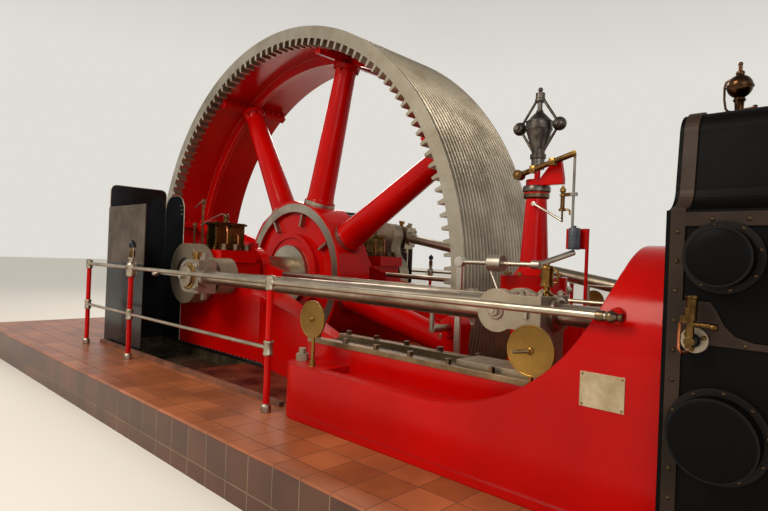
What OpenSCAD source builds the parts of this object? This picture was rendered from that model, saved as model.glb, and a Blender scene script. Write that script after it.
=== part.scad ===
// Horizontal cross-compound mill engine: two single-crank engines side by side, driving one
// rope-grooved flywheel that turns in a pit between them. The near engine (-Y) has the small
// high-pressure cylinder, the far engine (+Y) the large low-pressure one, a quarter turn apart.
// Frame: +X from the crankshaft towards the cylinders, +Z up, origin on the foundation's
// underside, directly below the crankshaft's axis in the wheel's middle plane.
// Heights named *_h are measured from the tiled top of the foundation.

/* [Foundation] */
// Thickness of the floor slab under the wheel
race_floor_t = 180; // [150:10:400]
// Gap between the wheel's lowest point and the slab
race_clearance = 82; // [60:2:200]
// Gap between the wheel's side and the pit wall
race_side_gap = 120; // [80:5:200]
// Gap between the wheel's tread and the pit's end walls
race_end_gap = 180; // [120:5:300]
// Thickness of the wall that closes the pit at its free end
race_wall_t = 120; // [100:10:400]
// Width of the tiled walkway outside the handrail
walkway_w = 540; // [300:5:900]
// Length of foundation behind the cylinders
tail_l = 300; // [200:10:800]
// Depth of the crank pits below the tiled top
crank_pit_depth = 100; // [60:5:200]
// Radius of the rounded edge of the tiled top
nosing_r = 22; // [10:1:40]

/* [Crankshaft] */
// Height of the shaft's axis above the tiled top
shaft_h = 862; // [800:1:1000]
// Radius of the shaft in its two bearings
journal_r = 200; // [160:1:220]
// Radius of the shaft inside the wheel's hub
hub_seat_r = 225; // [222:1:260]
// Radius of the shaft's ends inside the cranks
crank_seat_r = 172; // [140:1:180]
// Length of each main bearing
bearing_l = 550; // [400:10:600]
// Distance from the pit wall to the bearing's inner end
bearing_setback = 190; // [150:5:240]

/* [Flywheel] */
// Radius of the wheel over its tread
wheel_r = 3050; // [2900:10:3200]
// Width of the tread
wheel_w = 1280; // [1260:2:1400]
// Number of rope grooves
groove_n = 23; // [19:1:23]
// Width of the plain rim outside the outermost grooves
groove_edge = 19; // [10:1:40]
// Depth of a rope groove
groove_depth = 38; // [20:1:45]
// Flat land between two grooves
groove_land = 9; // [4:1:14]
// Flat bottom of a rope groove
groove_floor = 10; // [6:1:18]
// Metal under the bottoms of the grooves
rim_t = 112; // [90:1:140]
// Width of the rib around the middle of the rim's inside
rim_rib_w = 70; // [40:2:120]
// Depth of the same rib
rim_rib_t = 130; // [80:2:160]
// Distance of the barring teeth's roots from the inside of the rim's metal
barring_inset = 60; // [55:1:80]
// Number of barring teeth
tooth_n = 144; // [120:4:160]
// Depth of a barring tooth
tooth_depth = 80; // [50:2:90]
// Width of the toothed ring across its face
barring_ring_w = 140; // [100:2:200]
// Metal behind the barring teeth
barring_ring_t = 43; // [35:1:54]
// Number of spokes
spoke_n = 8; // [6:1:8]
// Angle of the first spoke above the horizontal
spoke_phase = 31; // [0:1:44]
// Radius of a spoke at the hub
spoke_root_r = 175; // [150:1:185]
// Radius of a spoke at the rim
spoke_tip_r = 130; // [100:1:150]
// Radius of the hub to the flats where the spokes stand
hub_r = 940; // [900:5:980]
// Width of the hub at its edge
hub_w = 500; // [460:5:560]
// Radius of the hub's boss
hub_boss_r = 378; // [340:2:420]
// Length of the hub's boss
hub_boss_l = 620; // [600:5:700]
// Outer radius of the sunk web in the hub's face
hub_web_r = 816; // [780:2:840]
// Depth of that web below the hub's edge
hub_web_depth = 60; // [30:5:90]
// Thickness of a flange where two rim segments are bolted together
joint_flange_t = 44; // [36:2:60]

/* [Cranks] */
// Crank radius, half of the piston stroke
crank_r = 610; // [560:5:620]
// Thickness of a crank
crank_t = 200; // [160:5:220]
// Gap between bearing and crank
crank_gap = 30; // [25:1:60]
// Radius of the counterweight side of a crank
crank_weight_r = 337; // [320:1:360]
// Radius of the crank around the pin
crank_eye_r = 190; // [170:1:200]
// Radius of the hollow between a crank's two rounds
crank_hollow_r = 200; // [160:5:240]
// Radius of a crank pin
crank_pin_r = 105; // [90:1:115]

/* [Connecting rods] */
// Length of a rod from pin to pin
rod_l = 3660; // [3600:10:3800]
// Radius of the rod at the crank end
rod_crank_r = 62; // [55:1:75]
// Radius of the rod at the crosshead end
rod_crosshead_r = 82; // [70:1:88]
// Distance from the crank's face to the rod's middle plane
rod_offset = 160; // [150:1:190]
// Width of the big end along its pin
big_end_w = 200; // [160:5:220]
// Height of the big end, which is also the diameter of its rounded outer end
big_end_h = 330; // [300:5:360]
// Length of the big end
big_end_l = 400; // [360:5:440]

/* [Crossheads] */
// Radius of a crosshead pin
crosshead_pin_r = 60; // [50:1:70]
// Radius of the crosshead's round body
crosshead_r = 120; // [115:1:140]
// Width of the crosshead across its cheeks
crosshead_w = 310; // [290:2:330]
// Length of the slipper
slipper_l = 560; // [480:10:600]
// Thickness of the slipper
slipper_t = 60; // [40:2:70]
// Radius of a piston rod
piston_rod_r = 58; // [50:1:65]

/* [Beds] */
// Half width of a bed over its outer walls
bed_half_w = 470; // [460:2:480]
// Thickness of a bed's walls
bed_wall_t = 90; // [60:2:110]
// Height of the bed's low wall
bed_wall_h = 370; // [320:2:400]
// Height of the trough's floor inside that wall
trough_floor_h = 330; // [280:2:350]
// Height of the slide's face
slide_h = 483; // [470:1:500]
// Width of the slide between its outer edges
slide_w = 380; // [340:2:400]
// Width of the keeper strips along the slide
keeper_w = 70; // [50:2:80]
// Thickness of the keeper strips
keeper_t = 34; // [20:1:40]
// Thickness of the flange around the bed's foot
bed_flange_t = 50; // [30:2:80]
// How far that flange stands out
bed_flange_w = 8; // [4:1:12]
// Radius of the arch that joins the bed to the cylinder
arch_r = 470; // [460:2:480]
// Thickness of the bulkhead inside the arch
bulkhead_t = 110; // [80:2:140]
// Length of the curve that rises from the low wall to the arch
swoop_l = 1020; // [900:10:1080]
// Height of the main bearing above the shaft's axis
bearing_cap_h = 278; // [260:2:320]
// Width of the main bearing along the engine
bearing_w = 760; // [700:5:820]

/* [Cylinders] */
// Distance from the crosshead pin at its outer stop to the cylinder casing
gland_reach = 985; // [950:5:1030]
// Length of the casing beyond the piston stroke
casing_extra = 575; // [500:5:700]
// Half width of the high-pressure casing
high_half_w = 560; // [540:5:600]
// Half width of the low-pressure casing
low_half_w = 680; // [640:5:740]
// Height of the casing's shoulder
shoulder_h = 1350; // [1300:5:1400]
// Height of the casing's top
casing_h = 1750; // [1700:5:1800]
// Width of the hollow moulding above the shoulder
cove_r = 100; // [80:2:110]
// Radius of the rounded edge of the casing's top
crown_r = 95; // [80:2:110]
// Radius of the upper valve covers
upper_cover_r = 130; // [110:2:150]
// Radius of the lower valve covers
lower_cover_r = 168; // [140:2:178]
// Height of the upper valve covers' centres
upper_cover_h = 1178; // [1150:2:1190]
// Height of the lower valve covers' centres
lower_cover_h = 545; // [500:2:560]
// Distance of the valve covers' centres from the casing's ends
cover_inset = 195; // [180:5:300]
// How far the valve covers stand out
cover_out = 95; // [60:2:140]

/* [Governor] */
// Distance of the governor from the rocker's shaft along the engine
governor_lead = 600; // [560:5:700]
// Distance of the governor from the wheel's middle plane
governor_y = 960; // [900:5:1000]
// Height of the governor column's cap
governor_cap_h = 1746; // [1700:2:1800]
// Radius of the governor's ball path
governor_ball_path_r = 160; // [152:1:170]
// Radius of a governor ball
governor_ball_r = 50; // [40:1:60]
// Height of the governor balls
governor_ball_h = 2145; // [2120:5:2170]
// Greatest radius of the governor's weight
governor_weight_r = 96; // [80:2:98]

/* [Guards and rails] */
// Height of the handrail posts
post_h = 922; // [880:2:960]
// Height of the lower rail
lower_rail_h = 454; // [400:2:500]
// Radius of a handrail post
post_r = 24; // [18:1:30]
// Radius of a rail
rail_r = 19; // [14:1:22]
// Gap between the bed's wall and the handrail's middle
rail_gap = 40; // [36:1:60]
// Height of the splash guard at the crank's end
end_guard_h = 1865; // [1700:5:1900]
// Height of the splash guard beside the bearing
inner_guard_h = 1787; // [1650:1:1800]
// Height of the splash guard along the walkway
front_guard_h = 1600; // [1500:10:1650]
// Thickness of the guards' sheet
guard_t = 8; // [5:1:12]

/* [Fits] */
// Gap between parts that turn or slide in one another
running_gap = 0.3; // [0.2:0.1:0.5]
// Gap between the crank and the end of the crank pin that the rod carries
pin_gap = 6; // [5.5:0.5:10]
// Least gap between pieces that pass one another
moving_gap = 5; // [5:0.1:5.4]

/* [Hidden] */
$fn = 64;
// Overlap of cutting shapes past the faces that they cut
cut = 5;
// Free length of slide beyond the slipper's travel at the crank's end
slide_margin = 90;
// Length of slide that stands free of the bed's end
slide_free_l = 40;
// Places along the engine
plinth_top = race_floor_t + race_clearance + wheel_r - shaft_h;
race_half_l = wheel_r + race_end_gap;
pin_stop_x = crank_r + rod_l;
slide_x0 = rod_l - crank_r - slipper_l / 2 - slide_margin;
slide_x1 = pin_stop_x + slipper_l / 2 + slide_margin / 4;
bed_x0 = slide_x0 + slide_free_l;
cylinder_x0 = pin_stop_x + gland_reach;
cylinder_x1 = cylinder_x0 + 2 * crank_r + casing_extra;
foundation_x0 = -race_half_l - race_wall_t;
foundation_x1 = cylinder_x1 + tail_l;
bed_x1 = cylinder_x0;
// Distance from the rod's middle plane to the guard on the walkway
guard_reach = 290;
// Places across the engine, for the near side with Y positive
race_y = wheel_w / 2 + race_side_gap;
bearing_y0 = race_y + bearing_setback;
bearing_y1 = bearing_y0 + bearing_l;
crank_y0 = bearing_y1 + crank_gap;
crank_y1 = crank_y0 + crank_t;
rod_y = crank_y1 + rod_offset;
bed_y0 = rod_y - bed_half_w;
bed_y1 = rod_y + bed_half_w;
rail_y = bed_y1 + rail_gap;
foundation_y = rail_y + walkway_w;
guard_front_y = rod_y + guard_reach;
// Connecting rod of the far engine, whose crank stands upright
far_tilt = asin(crank_r / rod_l);
far_pin_x = rod_l * cos(far_tilt);
// Radii of the wheel from the tread inwards
rim_inner_r = wheel_r - groove_depth - rim_t;
tooth_root_r = rim_inner_r + rim_t - barring_inset - barring_ring_t;
tooth_tip_r = tooth_root_r - tooth_depth;
rim_shelf_r = tooth_root_r + barring_ring_t;
rib_inner_r = rim_inner_r - rim_rib_t;
// Distance from groove to groove
groove_pitch = (wheel_w - 2 * groove_edge) / groove_n;

// Paint and metal colours as the photograph shows them
enamel = "#c40c08";
bare_steel = "#b9a58a";
brass = "#a8782e";
casing_black = "#1c1815";
guard_black = "#16161a";
tile = "#b45a2c";
band_brown = "#6e5238";

// Places children at the level of the tiled top
module on_top() translate([0, 0, plinth_top]) children();

// Near engine is written with Y positive and mirrored to -Y
module near_side() on_top() mirror([0, 1, 0]) children();

// Far engine as written
module far_side() on_top() children();

module both_sides() {
    near_side() children();
    far_side() children();
}

// Box from its low corner to its high corner
module block(low, high) translate(low) cube(high - low);

// Cylinder lying along Y from y0 to y1
module rod_along_y(r, x, z, y0, y1) translate([x, y0, z]) rotate([-90, 0, 0]) cylinder(h = y1 - y0, r = r);

// Cylinder lying along X from x0 to x1
module rod_along_x(r, y, z, x0, x1) translate([x0, y, z]) rotate([0, 90, 0]) cylinder(h = x1 - x0, r = r);

// Side profile in X and Z, extruded along Y from y0 to y1
module side_profile(y0, y1) translate([0, y1, 0]) rotate([90, 0, 0]) linear_extrude(y1 - y0) children();

// Cross profile in Y and Z, extruded along X from x0 to x1
module cross_profile(x0, x1) translate([x0, 0, 0]) rotate([90, 0, 90]) linear_extrude(x1 - x0) children();

// Straight bar between two points
module bar(p, q, r, r2 = 0) {
    d = q - p;
    l = norm(d);
    translate(p) rotate([0, acos(d.z / l), atan2(d.y, d.x)]) cylinder(h = l, r1 = r, r2 = r2 > 0 ? r2 : r);
}

// Foundation

module foundation_half() {
    difference() {
        cross_profile(foundation_x0, foundation_x1) {
            translate([race_y, -plinth_top]) square([foundation_y - race_y, plinth_top - nosing_r]);
            translate([race_y, -2 * nosing_r]) square([foundation_y - nosing_r - race_y, 2 * nosing_r]);
            translate([foundation_y - nosing_r, -nosing_r]) circle(r = nosing_r);
        }
        block([crank_pit_x0, crank_pit_y0, -crank_pit_depth], [crank_pit_x1, crank_pit_y1, cut]);
    }
}

// Ledge between the bearing and the pit's lining
pit_step = 5;
// Free length of the pit beyond the big end's sweep
pit_margin = 150;
// Further length of the pit towards the beds
pit_tail = 100;
// Distance from the rod's middle plane to the pit's outer wall
pit_reach = 260;
crank_pit_x0 = -crank_r - big_end_l / 2 - pit_margin;
crank_pit_x1 = crank_r + big_end_l / 2 + pit_margin + pit_tail;
crank_pit_y0 = bearing_y1 + pit_step;
crank_pit_y1 = rod_y + pit_reach;
// Inner guard stands on the pit's edge
guard_inner_y = crank_pit_y0 - guard_t;

module near_foundation() color(tile) near_side() foundation_half();
module far_foundation() color(tile) far_side() foundation_half();

module end_foundation() {
    color(tile) on_top() block([race_half_l, -race_y, -plinth_top], [foundation_x1, race_y, 0]);
}

module race_floor() {
    color(tile) block([-race_half_l, -race_y, 0], [race_half_l, race_y, race_floor_t]);
}

module race_wall() {
    color(tile) on_top() block([foundation_x0, -race_y, -plinth_top], [-race_half_l, race_y, 0]);
}

// Sheet steel tray that lines each crank pit, with a kerb on the walkway side
tray_t = 6;
kerb_h = 36;
kerb_w = 44;
kerb_gap = 60;

module crank_tray() {
    difference() {
        block([crank_pit_x0, crank_pit_y0, -crank_pit_depth], [crank_pit_x1, crank_pit_y1, 0]);
        block([crank_pit_x0 + tray_t, crank_pit_y0 + tray_t, tray_t - crank_pit_depth],
              [crank_pit_x1 - tray_t, crank_pit_y1 - tray_t, cut]);
    }
    block([crank_pit_x0, crank_pit_y1 + kerb_gap, 0],
          [post_x[2] - kerb_w, crank_pit_y1 + kerb_gap + kerb_w, kerb_h]);
}

module crank_trays() color("#5d554a") both_sides() crank_tray();

// Beds

// Plan of the low bed: straight along the slide, swept back to the bearing in front of the crank
foot_back = 120;
foot_front = 300;
foot_x0 = -bearing_w / 2 - foot_back;
foot_x1 = bearing_w / 2 + foot_front;
// Where the beam leaves the bearing's outer side
beam_lead = 120;
beam_x1 = crank_pit_x1 + beam_lead;
sweep_r = bed_y1 - bearing_y1;
bed_corner_r = 150;
// Step that keeps the swept edge clear of the straight one
sweep_step = 0.5;
module bed_plan() {
    polygon([
        [foot_x0, bearing_y0], [foot_x0, bearing_y1], [bed_x0, bearing_y1], [bed_x0, bed_y1 - bed_corner_r],
        [bed_x0 + bed_corner_r, bed_y1 - bed_corner_r], [bed_x0 + bed_corner_r, bed_y1],
        [bed_x1, bed_y1], [bed_x1, bed_y0], [bed_x0, bed_y0], [foot_x1, bearing_y0]
    ]);
    translate([bed_x0 + bed_corner_r, bed_y1 - bed_corner_r]) circle(r = bed_corner_r);
    difference() {
        translate([bed_x0 - sweep_r, bearing_y1 - cut])
            square([sweep_r + cut, sweep_r - bed_corner_r + cut]);
        translate([bed_x0 - sweep_r, bed_y1 + sweep_step]) circle(r = sweep_r, $fn = 96);
    }
}

// Upper outline of the bed seen from the side, a quarter ellipse from the low wall up to the arch
arch_rise = 375;
arch_top_h = shaft_h + arch_rise;
arch_h = arch_top_h - arch_r;
swoop_lead = 570;
swoop_x0 = slide_x1 - swoop_lead;
function swoop(a) = [swoop_x0 + swoop_l * sin(a), bed_wall_h + (arch_top_h - bed_wall_h) * (1 - cos(a))];

swoop_steps = 24;
module swoop_outline() {
    polygon(concat(
        [[bed_x1, 0], [bed_x0, 0], [bed_x0, bed_wall_h]],
        [for (i = [0 : swoop_steps]) swoop(i * 90 / swoop_steps)],
        [[bed_x1, arch_top_h]]
    ));
}

// Cross section of the bed's outer shell, an arch on straight legs
module arch_section(r) {
    translate([rod_y, arch_h]) circle(r = r, $fn = 96);
    translate([rod_y - r, 0]) square([2 * r, arch_h]);
}

// Beam from the slide up to the bearing, sloping down as it swings out and beside the swinging rod
beam_toe_h = 520;
beam_head_h = 800;
module bed_beam() {
    intersection() {
        linear_extrude(shaft_h) polygon([
            [foot_x0, bearing_y0], [foot_x0, bearing_y1], [beam_x1, bearing_y1],
            [slide_x0, rod_y - rod_crosshead_r - moving_gap], [slide_x0, rod_y - slide_w / 2],
            [foot_x1, bearing_y0]
        ]);
        side_profile(bearing_y0, bed_y1) polygon([
            [foot_x0, 0], [foot_x0, beam_toe_h], [-bearing_w / 2, beam_head_h],
            [bearing_w / 2, beam_head_h], [slide_x0, slide_h], [slide_x0, 0]
        ]);
    }
}

// Bore of the bearing
shaft_bore_r = journal_r + running_gap;
module bed() {
    difference() {
        union() {
            // Trough walls and arch, cut from one shell by the side outline
            intersection() {
                cross_profile(bed_x0 + bed_corner_r, bed_x1) difference() {
                    arch_section(bed_half_w);
                    translate([0, -cut]) arch_section(bed_half_w - bed_wall_t);
                }
                side_profile(bed_y0, bed_y1) swoop_outline();
            }
            linear_extrude(trough_floor_h) bed_plan();
            // Solid pad at the end, for the holding-down bolt and a disc's post
            linear_extrude(bed_wall_h) intersection() {
                bed_plan();
                translate([bed_x0, rod_y]) square([bed_pad_l, bed_half_w]);
            }
            block([slide_x0, rod_y - slide_w / 2, 0], [slide_x1, rod_y + slide_w / 2, slide_h]);
            bed_beam();
            block([-bearing_w / 2, bearing_y0, 0], [bearing_w / 2, bearing_y1, shaft_h]);
            cross_profile(bed_x1 - bulkhead_t, bed_x1) arch_section(bed_half_w - bed_wall_t);
            // Boss for the end of the handrail
            rod_along_y(rail_boss_r, rail_end_x, post_h, bed_y1 - bed_wall_t, rail_boss_y);
            // Flange around the foot
            block([bed_x0 + bed_corner_r, bed_y1 - cut, 0], [bed_x1, bed_y1 + bed_flange_w, bed_flange_t]);
        }
        rod_along_y(shaft_bore_r, 0, shaft_h, bearing_y0 - cut, bearing_y1 + cut);
        rod_along_x(gland_r + running_gap, rod_y, shaft_h, bed_x1 - bulkhead_t - cut, bed_x1 + cut);
    }
}

gland_r = 150;
bed_pad_l = 420;
rail_boss_r = 34;
rail_boss_inset = 14;
rail_end_lead = 20;
rail_boss_y = bed_y1 - rail_boss_inset;
rail_end_x = swoop_x0 + swoop_l + rail_end_lead;

module near_bed() color(enamel) near_side() bed();
module far_bed() color(enamel) far_side() bed();

// Bearing caps: a block with a wider slab on top, held by three nuts on each side
cap_inset = 40;
cap_end_inset = 20;
cap_slab_t = 140;
cap_slab_out = 10;
cap_slab_setback = 90;
cap_nut_n = 3;
cap_nut_inset = 80;
cap_nut_pitch = 145;
cap_nut_r = 42;
cap_nut_h = 70;
cap_top_h = shaft_h + bearing_cap_h;
cap_slab_y0 = bearing_y0 + cap_slab_setback;
module bearing_cap() {
    difference() {
        union() {
            block([-bearing_w / 2 + cap_inset, bearing_y0, shaft_h + running_gap],
                  [bearing_w / 2 - cap_inset, bearing_y1 - cap_end_inset, cap_top_h - cap_slab_t]);
            block([-bearing_w / 2 - cap_slab_out, cap_slab_y0, cap_top_h - cap_slab_t],
                  [bearing_w / 2 + cap_slab_out, bearing_y1, cap_top_h]);
        }
        rod_along_y(shaft_bore_r, 0, shaft_h, bearing_y0 - cut, bearing_y1 + cut);
    }
    for (s = [-1, 1], i = [0 : cap_nut_n - 1])
        translate([s * (bearing_w / 2 - cap_nut_inset),
                   bearing_y1 - cap_nut_inset - i * cap_nut_pitch, cap_top_h])
            nut(cap_nut_r, cap_nut_h);
}

module bearing_caps() color(enamel) both_sides() bearing_cap();

// Hexagon nut
module nut(r, h) cylinder(h = h, r = r, $fn = 6);

// Oil box on each cap, with a lid and a sight feed
box_l = 200;
box_w = 370;
box_h = 290;
lid_rim = 25;
lid_t = 22;
feed_r = 22;
feed_h = 90;
knob_r = 32;
module oil_box() {
    z0 = cap_top_h;
    y = (bearing_y0 + bearing_y1) / 2;
    block([-box_l / 2, y - box_w / 2, z0], [box_l / 2, y + box_w / 2, z0 + box_h]);
    block([-box_l / 2 - lid_rim, y - box_w / 2 - lid_rim, z0 + box_h],
          [box_l / 2 + lid_rim, y + box_w / 2 + lid_rim, z0 + box_h + lid_t]);
    translate([0, y, z0 + box_h + lid_t]) cylinder(h = feed_h, r = feed_r);
    translate([0, y, z0 + box_h + lid_t + feed_h]) sphere(r = knob_r);
}

module oil_boxes() color(brass) both_sides() oil_box();

// Keeper strips along both edges of each slide, with their nuts
keeper_pitch = 300;
keeper_nut_r = 21;
keeper_nut_h = 30;
keeper_first = 80;
keeper_last = 40;
module keepers() {
    for (s = [-1, 1]) {
        y = rod_y + s * (slide_w - keeper_w) / 2;
        block([slide_x0, y - keeper_w / 2, slide_h], [slide_x1, y + keeper_w / 2, slide_h + keeper_t]);
        for (x = [slide_x0 + keeper_first : keeper_pitch : slide_x1 - keeper_last])
            translate([x, y, slide_h + keeper_t]) nut(keeper_nut_r, keeper_nut_h);
    }
}

module slide_keepers() color(bare_steel) both_sides() keepers();

// Cylinders

// Casing outline seen along the engine: upright sides to the shoulder, a hollow moulding, a face
// that leans in and a rounded edge to the flat top. It grows by g for the bands around it.
lean = 24;
arc_steps = 10;
function casing_side(g) = concat(
    [[-g, 0], [-g, shoulder_h]],
    [for (i = [0 : arc_steps]) let (a = i * 90 / arc_steps)
        [cove_r * sin(a) - g, shoulder_h + g + (cove_r - g) * (1 - cos(a))]],
    [for (i = [0 : arc_steps]) let (a = i * 90 / arc_steps)
        [cove_r + lean - g + (crown_r + g) * (1 - cos(a)), casing_h - crown_r + (crown_r + g) * sin(a)]]
);
module casing_section(half_w, g = 0) {
    side = casing_side(g);
    n = len(side) - 1;
    polygon(concat(
        [for (i = [0 : n]) [rod_y - half_w + side[i].x, side[i].y]],
        [for (i = [n : -1 : 0]) [rod_y + half_w - side[i].x, side[i].y]]
    ));
}

// The casing is solid round the bores in which the rod and its gland slide
end_wall_t = 120;
gland_seat = 60;
module cylinder_casing(half_w) {
    difference() {
        cross_profile(cylinder_x0, cylinder_x1) casing_section(half_w);
        rod_along_x(piston_rod_r + running_gap, rod_y, shaft_h,
                    cylinder_x0 - cut, cylinder_x1 - end_wall_t);
        rod_along_x(gland_r + running_gap, rod_y, shaft_h, cylinder_x0 - cut, cylinder_x0 + gland_seat);
    }
}

module near_cylinder() color(casing_black) near_side() cylinder_casing(high_half_w);
module far_cylinder() color(casing_black) far_side() cylinder_casing(low_half_w);

// Brown bands that edge the casing, cut back around the valve covers. A strip between the covers
// widens to a curved plate at each end, where the cocks sit.
band_w = 50;
band_t = 8;
band_inset = 18;
band_drop = 10;
cover_x = [cylinder_x0 + cover_inset, cylinder_x1 - cover_inset];
module band_hoop(half_w, x) {
    cross_profile(x, x + band_w) difference() {
        casing_section(half_w, band_t);
        casing_section(half_w);
    }
}
strip_h = [862, 884];
plate_top_h = 1015;
plate_curve = [[97, 131], [117, 101], [142, 51], [177, 16], [237, 0]];
module band_strip(y) {
    x0 = cylinder_x0 + band_inset + band_w - cut;
    x1 = cylinder_x1 - band_inset - band_w + cut;
    n = len(plate_curve) - 1;
    side_profile(y, y + band_t) polygon(concat(
        [[x0, strip_h[0]], [x0, plate_top_h]],
        [for (p = plate_curve) [x0 + p.x, strip_h[1] + p.y]],
        [for (i = [n : -1 : 0]) [x1 - plate_curve[i].x, strip_h[1] + plate_curve[i].y]],
        [[x1, plate_top_h], [x1, strip_h[0]]]
    ));
}
module casing_band(half_w) {
    y1 = rod_y + half_w + band_t + cut;
    difference() {
        union() {
            band_strip(rod_y + half_w);
            for (x = [cylinder_x0 + band_inset, cylinder_x1 - band_inset - band_w]) band_hoop(half_w, x);
            for (y = [rod_y - half_w - band_t, rod_y + half_w])
                block([cylinder_x0 + band_inset, y, shoulder_h - band_drop - band_w],
                      [cylinder_x1 - band_inset, y + band_t, shoulder_h - band_drop]);
        }
        for (x = cover_x) {
            rod_along_y(upper_cover_r + running_gap, x, upper_cover_h, rod_y, y1);
            rod_along_y(lower_cover_r + running_gap, x, lower_cover_h, rod_y, y1);
        }
        rod_along_y(cock_plate_r + running_gap, cock_x, cock_h, rod_y, y1);
    }
}

module casing_bands() {
    color(band_brown) near_side() casing_band(high_half_w);
    color(band_brown) far_side() casing_band(low_half_w);
}

// Round valve covers, two high and two low on each outer side, each a dish on a ring
cover_ring_share = 0.25;
cover_ring_w = 24;
module cover(r, x, z, y) {
    rod_along_y(r, x, z, y, y + cover_out * cover_ring_share);
    rod_along_y(r - cover_ring_w, x, z, y + cover_out * cover_ring_share, y + cover_out);
}
module covers(half_w) {
    for (x = cover_x) {
        cover(upper_cover_r, x, upper_cover_h, rod_y + half_w);
        cover(lower_cover_r, x, lower_cover_h, rod_y + half_w);
    }
}

module valve_covers() {
    color(casing_black) near_side() covers(high_half_w);
    color(casing_black) far_side() covers(low_half_w);
}

// Glands where the piston rods enter
gland_out = 60;
gland_flange_w = 40;
module gland() {
    x0 = bed_x1 - bulkhead_t - gland_out;
    difference() {
        union() {
            rod_along_x(gland_r, rod_y, shaft_h, x0, cylinder_x0 + gland_seat);
            rod_along_x(gland_r + gland_flange_w, rod_y, shaft_h, x0, bed_x1 - bulkhead_t);
        }
        rod_along_x(piston_rod_r + running_gap, rod_y, shaft_h, x0 - cut, cylinder_x0 + gland_seat + cut);
    }
}

module rod_glands() color(brass) both_sides() gland();

// Cock on a round plate between the upper and the lower cover
cock_setback = 115;
cock_x = cylinder_x0 + cock_setback;
cock_h = 875;
cock_plate_r = 46;
cock_plate_t = 20;
cock_body_r = 17;
cock_body_l = 70;
cock_tube_out = 75;
cock_tube_r = 14;
cock_tube_drop = 25;
cock_tube_rise = 75;
cock_cup_r = 21;
cock_cup_h = 45;
cock_arm_r = 8;
cock_arm_h = 62;
cock_arm_l = 62;
module indicator_cock(half_w) {
    y = rod_y + half_w;
    rod_along_y(cock_plate_r, cock_x, cock_h, y, y + cock_plate_t);
    rod_along_y(cock_body_r, cock_x, cock_h, y + cock_plate_t, y + cock_plate_t + cock_body_l);
    translate([cock_x, y + cock_tube_out, cock_h - cock_tube_drop])
        cylinder(h = cock_tube_drop + cock_tube_rise, r = cock_tube_r);
    translate([cock_x, y + cock_tube_out, cock_h + cock_tube_rise])
        cylinder(h = cock_cup_h, r = cock_cup_r);
    rod_along_x(cock_arm_r, y + cock_tube_out, cock_h + cock_arm_h, cock_x, cock_x + cock_arm_l);
}

module indicator_cocks() {
    color(brass) near_side() indicator_cock(high_half_w);
    color(brass) far_side() indicator_cock(low_half_w);
}

// Drain valve low on the casing
drain_h = 150;
drain_r = 34;
drain_l = 120;
drain_stem_out = 80;
drain_stem_l = 180;
drain_stem_r = 26;
module drain_valve(half_w) {
    y = rod_y + half_w;
    x = cylinder_x0 + cover_inset;
    rod_along_y(drain_r, x, drain_h, y, y + drain_l);
    translate([x, y + drain_stem_out, drain_h - drain_stem_l / 2])
        cylinder(h = drain_stem_l, r = drain_stem_r);
}

module drain_valves() {
    color(brass) near_side() drain_valve(high_half_w);
    color(brass) far_side() drain_valve(low_half_w);
}

// Ball-shaped lubricator on top of each casing
ball_setback = 110;
ball_r = 51;
ball_neck_h = 141;
ball_neck_r = 13;
ball_sink = 2;
ball_stem_h = 50;
ball_stem_r = 8;
ball_knob_r = 10;
module ball_lubricator() {
    stem_h = ball_neck_h + 2 * (ball_r - ball_sink);
    translate([cylinder_x0 + ball_setback, rod_y, casing_h]) {
        cylinder(h = ball_neck_h, r = ball_neck_r);
        translate([0, 0, ball_neck_h + ball_r - ball_sink]) sphere(r = ball_r);
        translate([0, 0, stem_h]) cylinder(h = ball_stem_h, r = ball_stem_r);
        translate([0, 0, stem_h + ball_stem_h]) sphere(r = ball_knob_r);
    }
}

module ball_lubricators() color("#7a4a2a") both_sides() ball_lubricator();

// Bare plate on the near bed's wall
plate_setback = 350;
plate_x = cylinder_x0 - plate_setback;
plate_h = 525;
plate_size = [190, 4, 149];
module blank_plate() {
    color("#cfc3a8") near_side() block([plate_x, bed_y1, plate_h], [plate_x, bed_y1, plate_h] + plate_size);
}

// Eccentrics: each strap stands clear around the shaft and ends in a fork for its rod
ecc_setback = 150;
ecc_w = 120;
ecc_r = 330;
ecc_throw = 40;
ecc_fork_l = 320;
ecc_fork_h = 60;
ecc_fork_share = 0.6;
ecc_lug_l = 120;
ecc_lug_h = 100;
ecc_y0 = bearing_y0 - ecc_setback;
ecc_y = ecc_y0 + ecc_w / 2;
ecc_end_x = ecc_throw + ecc_r + ecc_fork_l;
module eccentric() {
    difference() {
        union() {
            rod_along_y(ecc_r, ecc_throw, shaft_h, ecc_y0, ecc_y0 + ecc_w);
            side_profile(ecc_y0 + ecc_w / 4, ecc_y0 + ecc_w * 3 / 4) polygon([
                [ecc_throw, shaft_h - ecc_r * ecc_fork_share], [ecc_end_x, shaft_h - ecc_fork_h / 2],
                [ecc_end_x, shaft_h + ecc_fork_h], [ecc_throw, shaft_h + ecc_r * ecc_fork_share]
            ]);
            for (z = [-1, 1])
                translate([ecc_throw, ecc_y, shaft_h + z * ecc_r])
                    cube([ecc_lug_l, ecc_w / 2, ecc_lug_h], center = true);
        }
        rod_along_y(hub_seat_r + running_gap, 0, shaft_h, ecc_y0 - cut, ecc_y0 + ecc_w + cut);
    }
}

module eccentrics() color(enamel) both_sides() eccentric();

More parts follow.
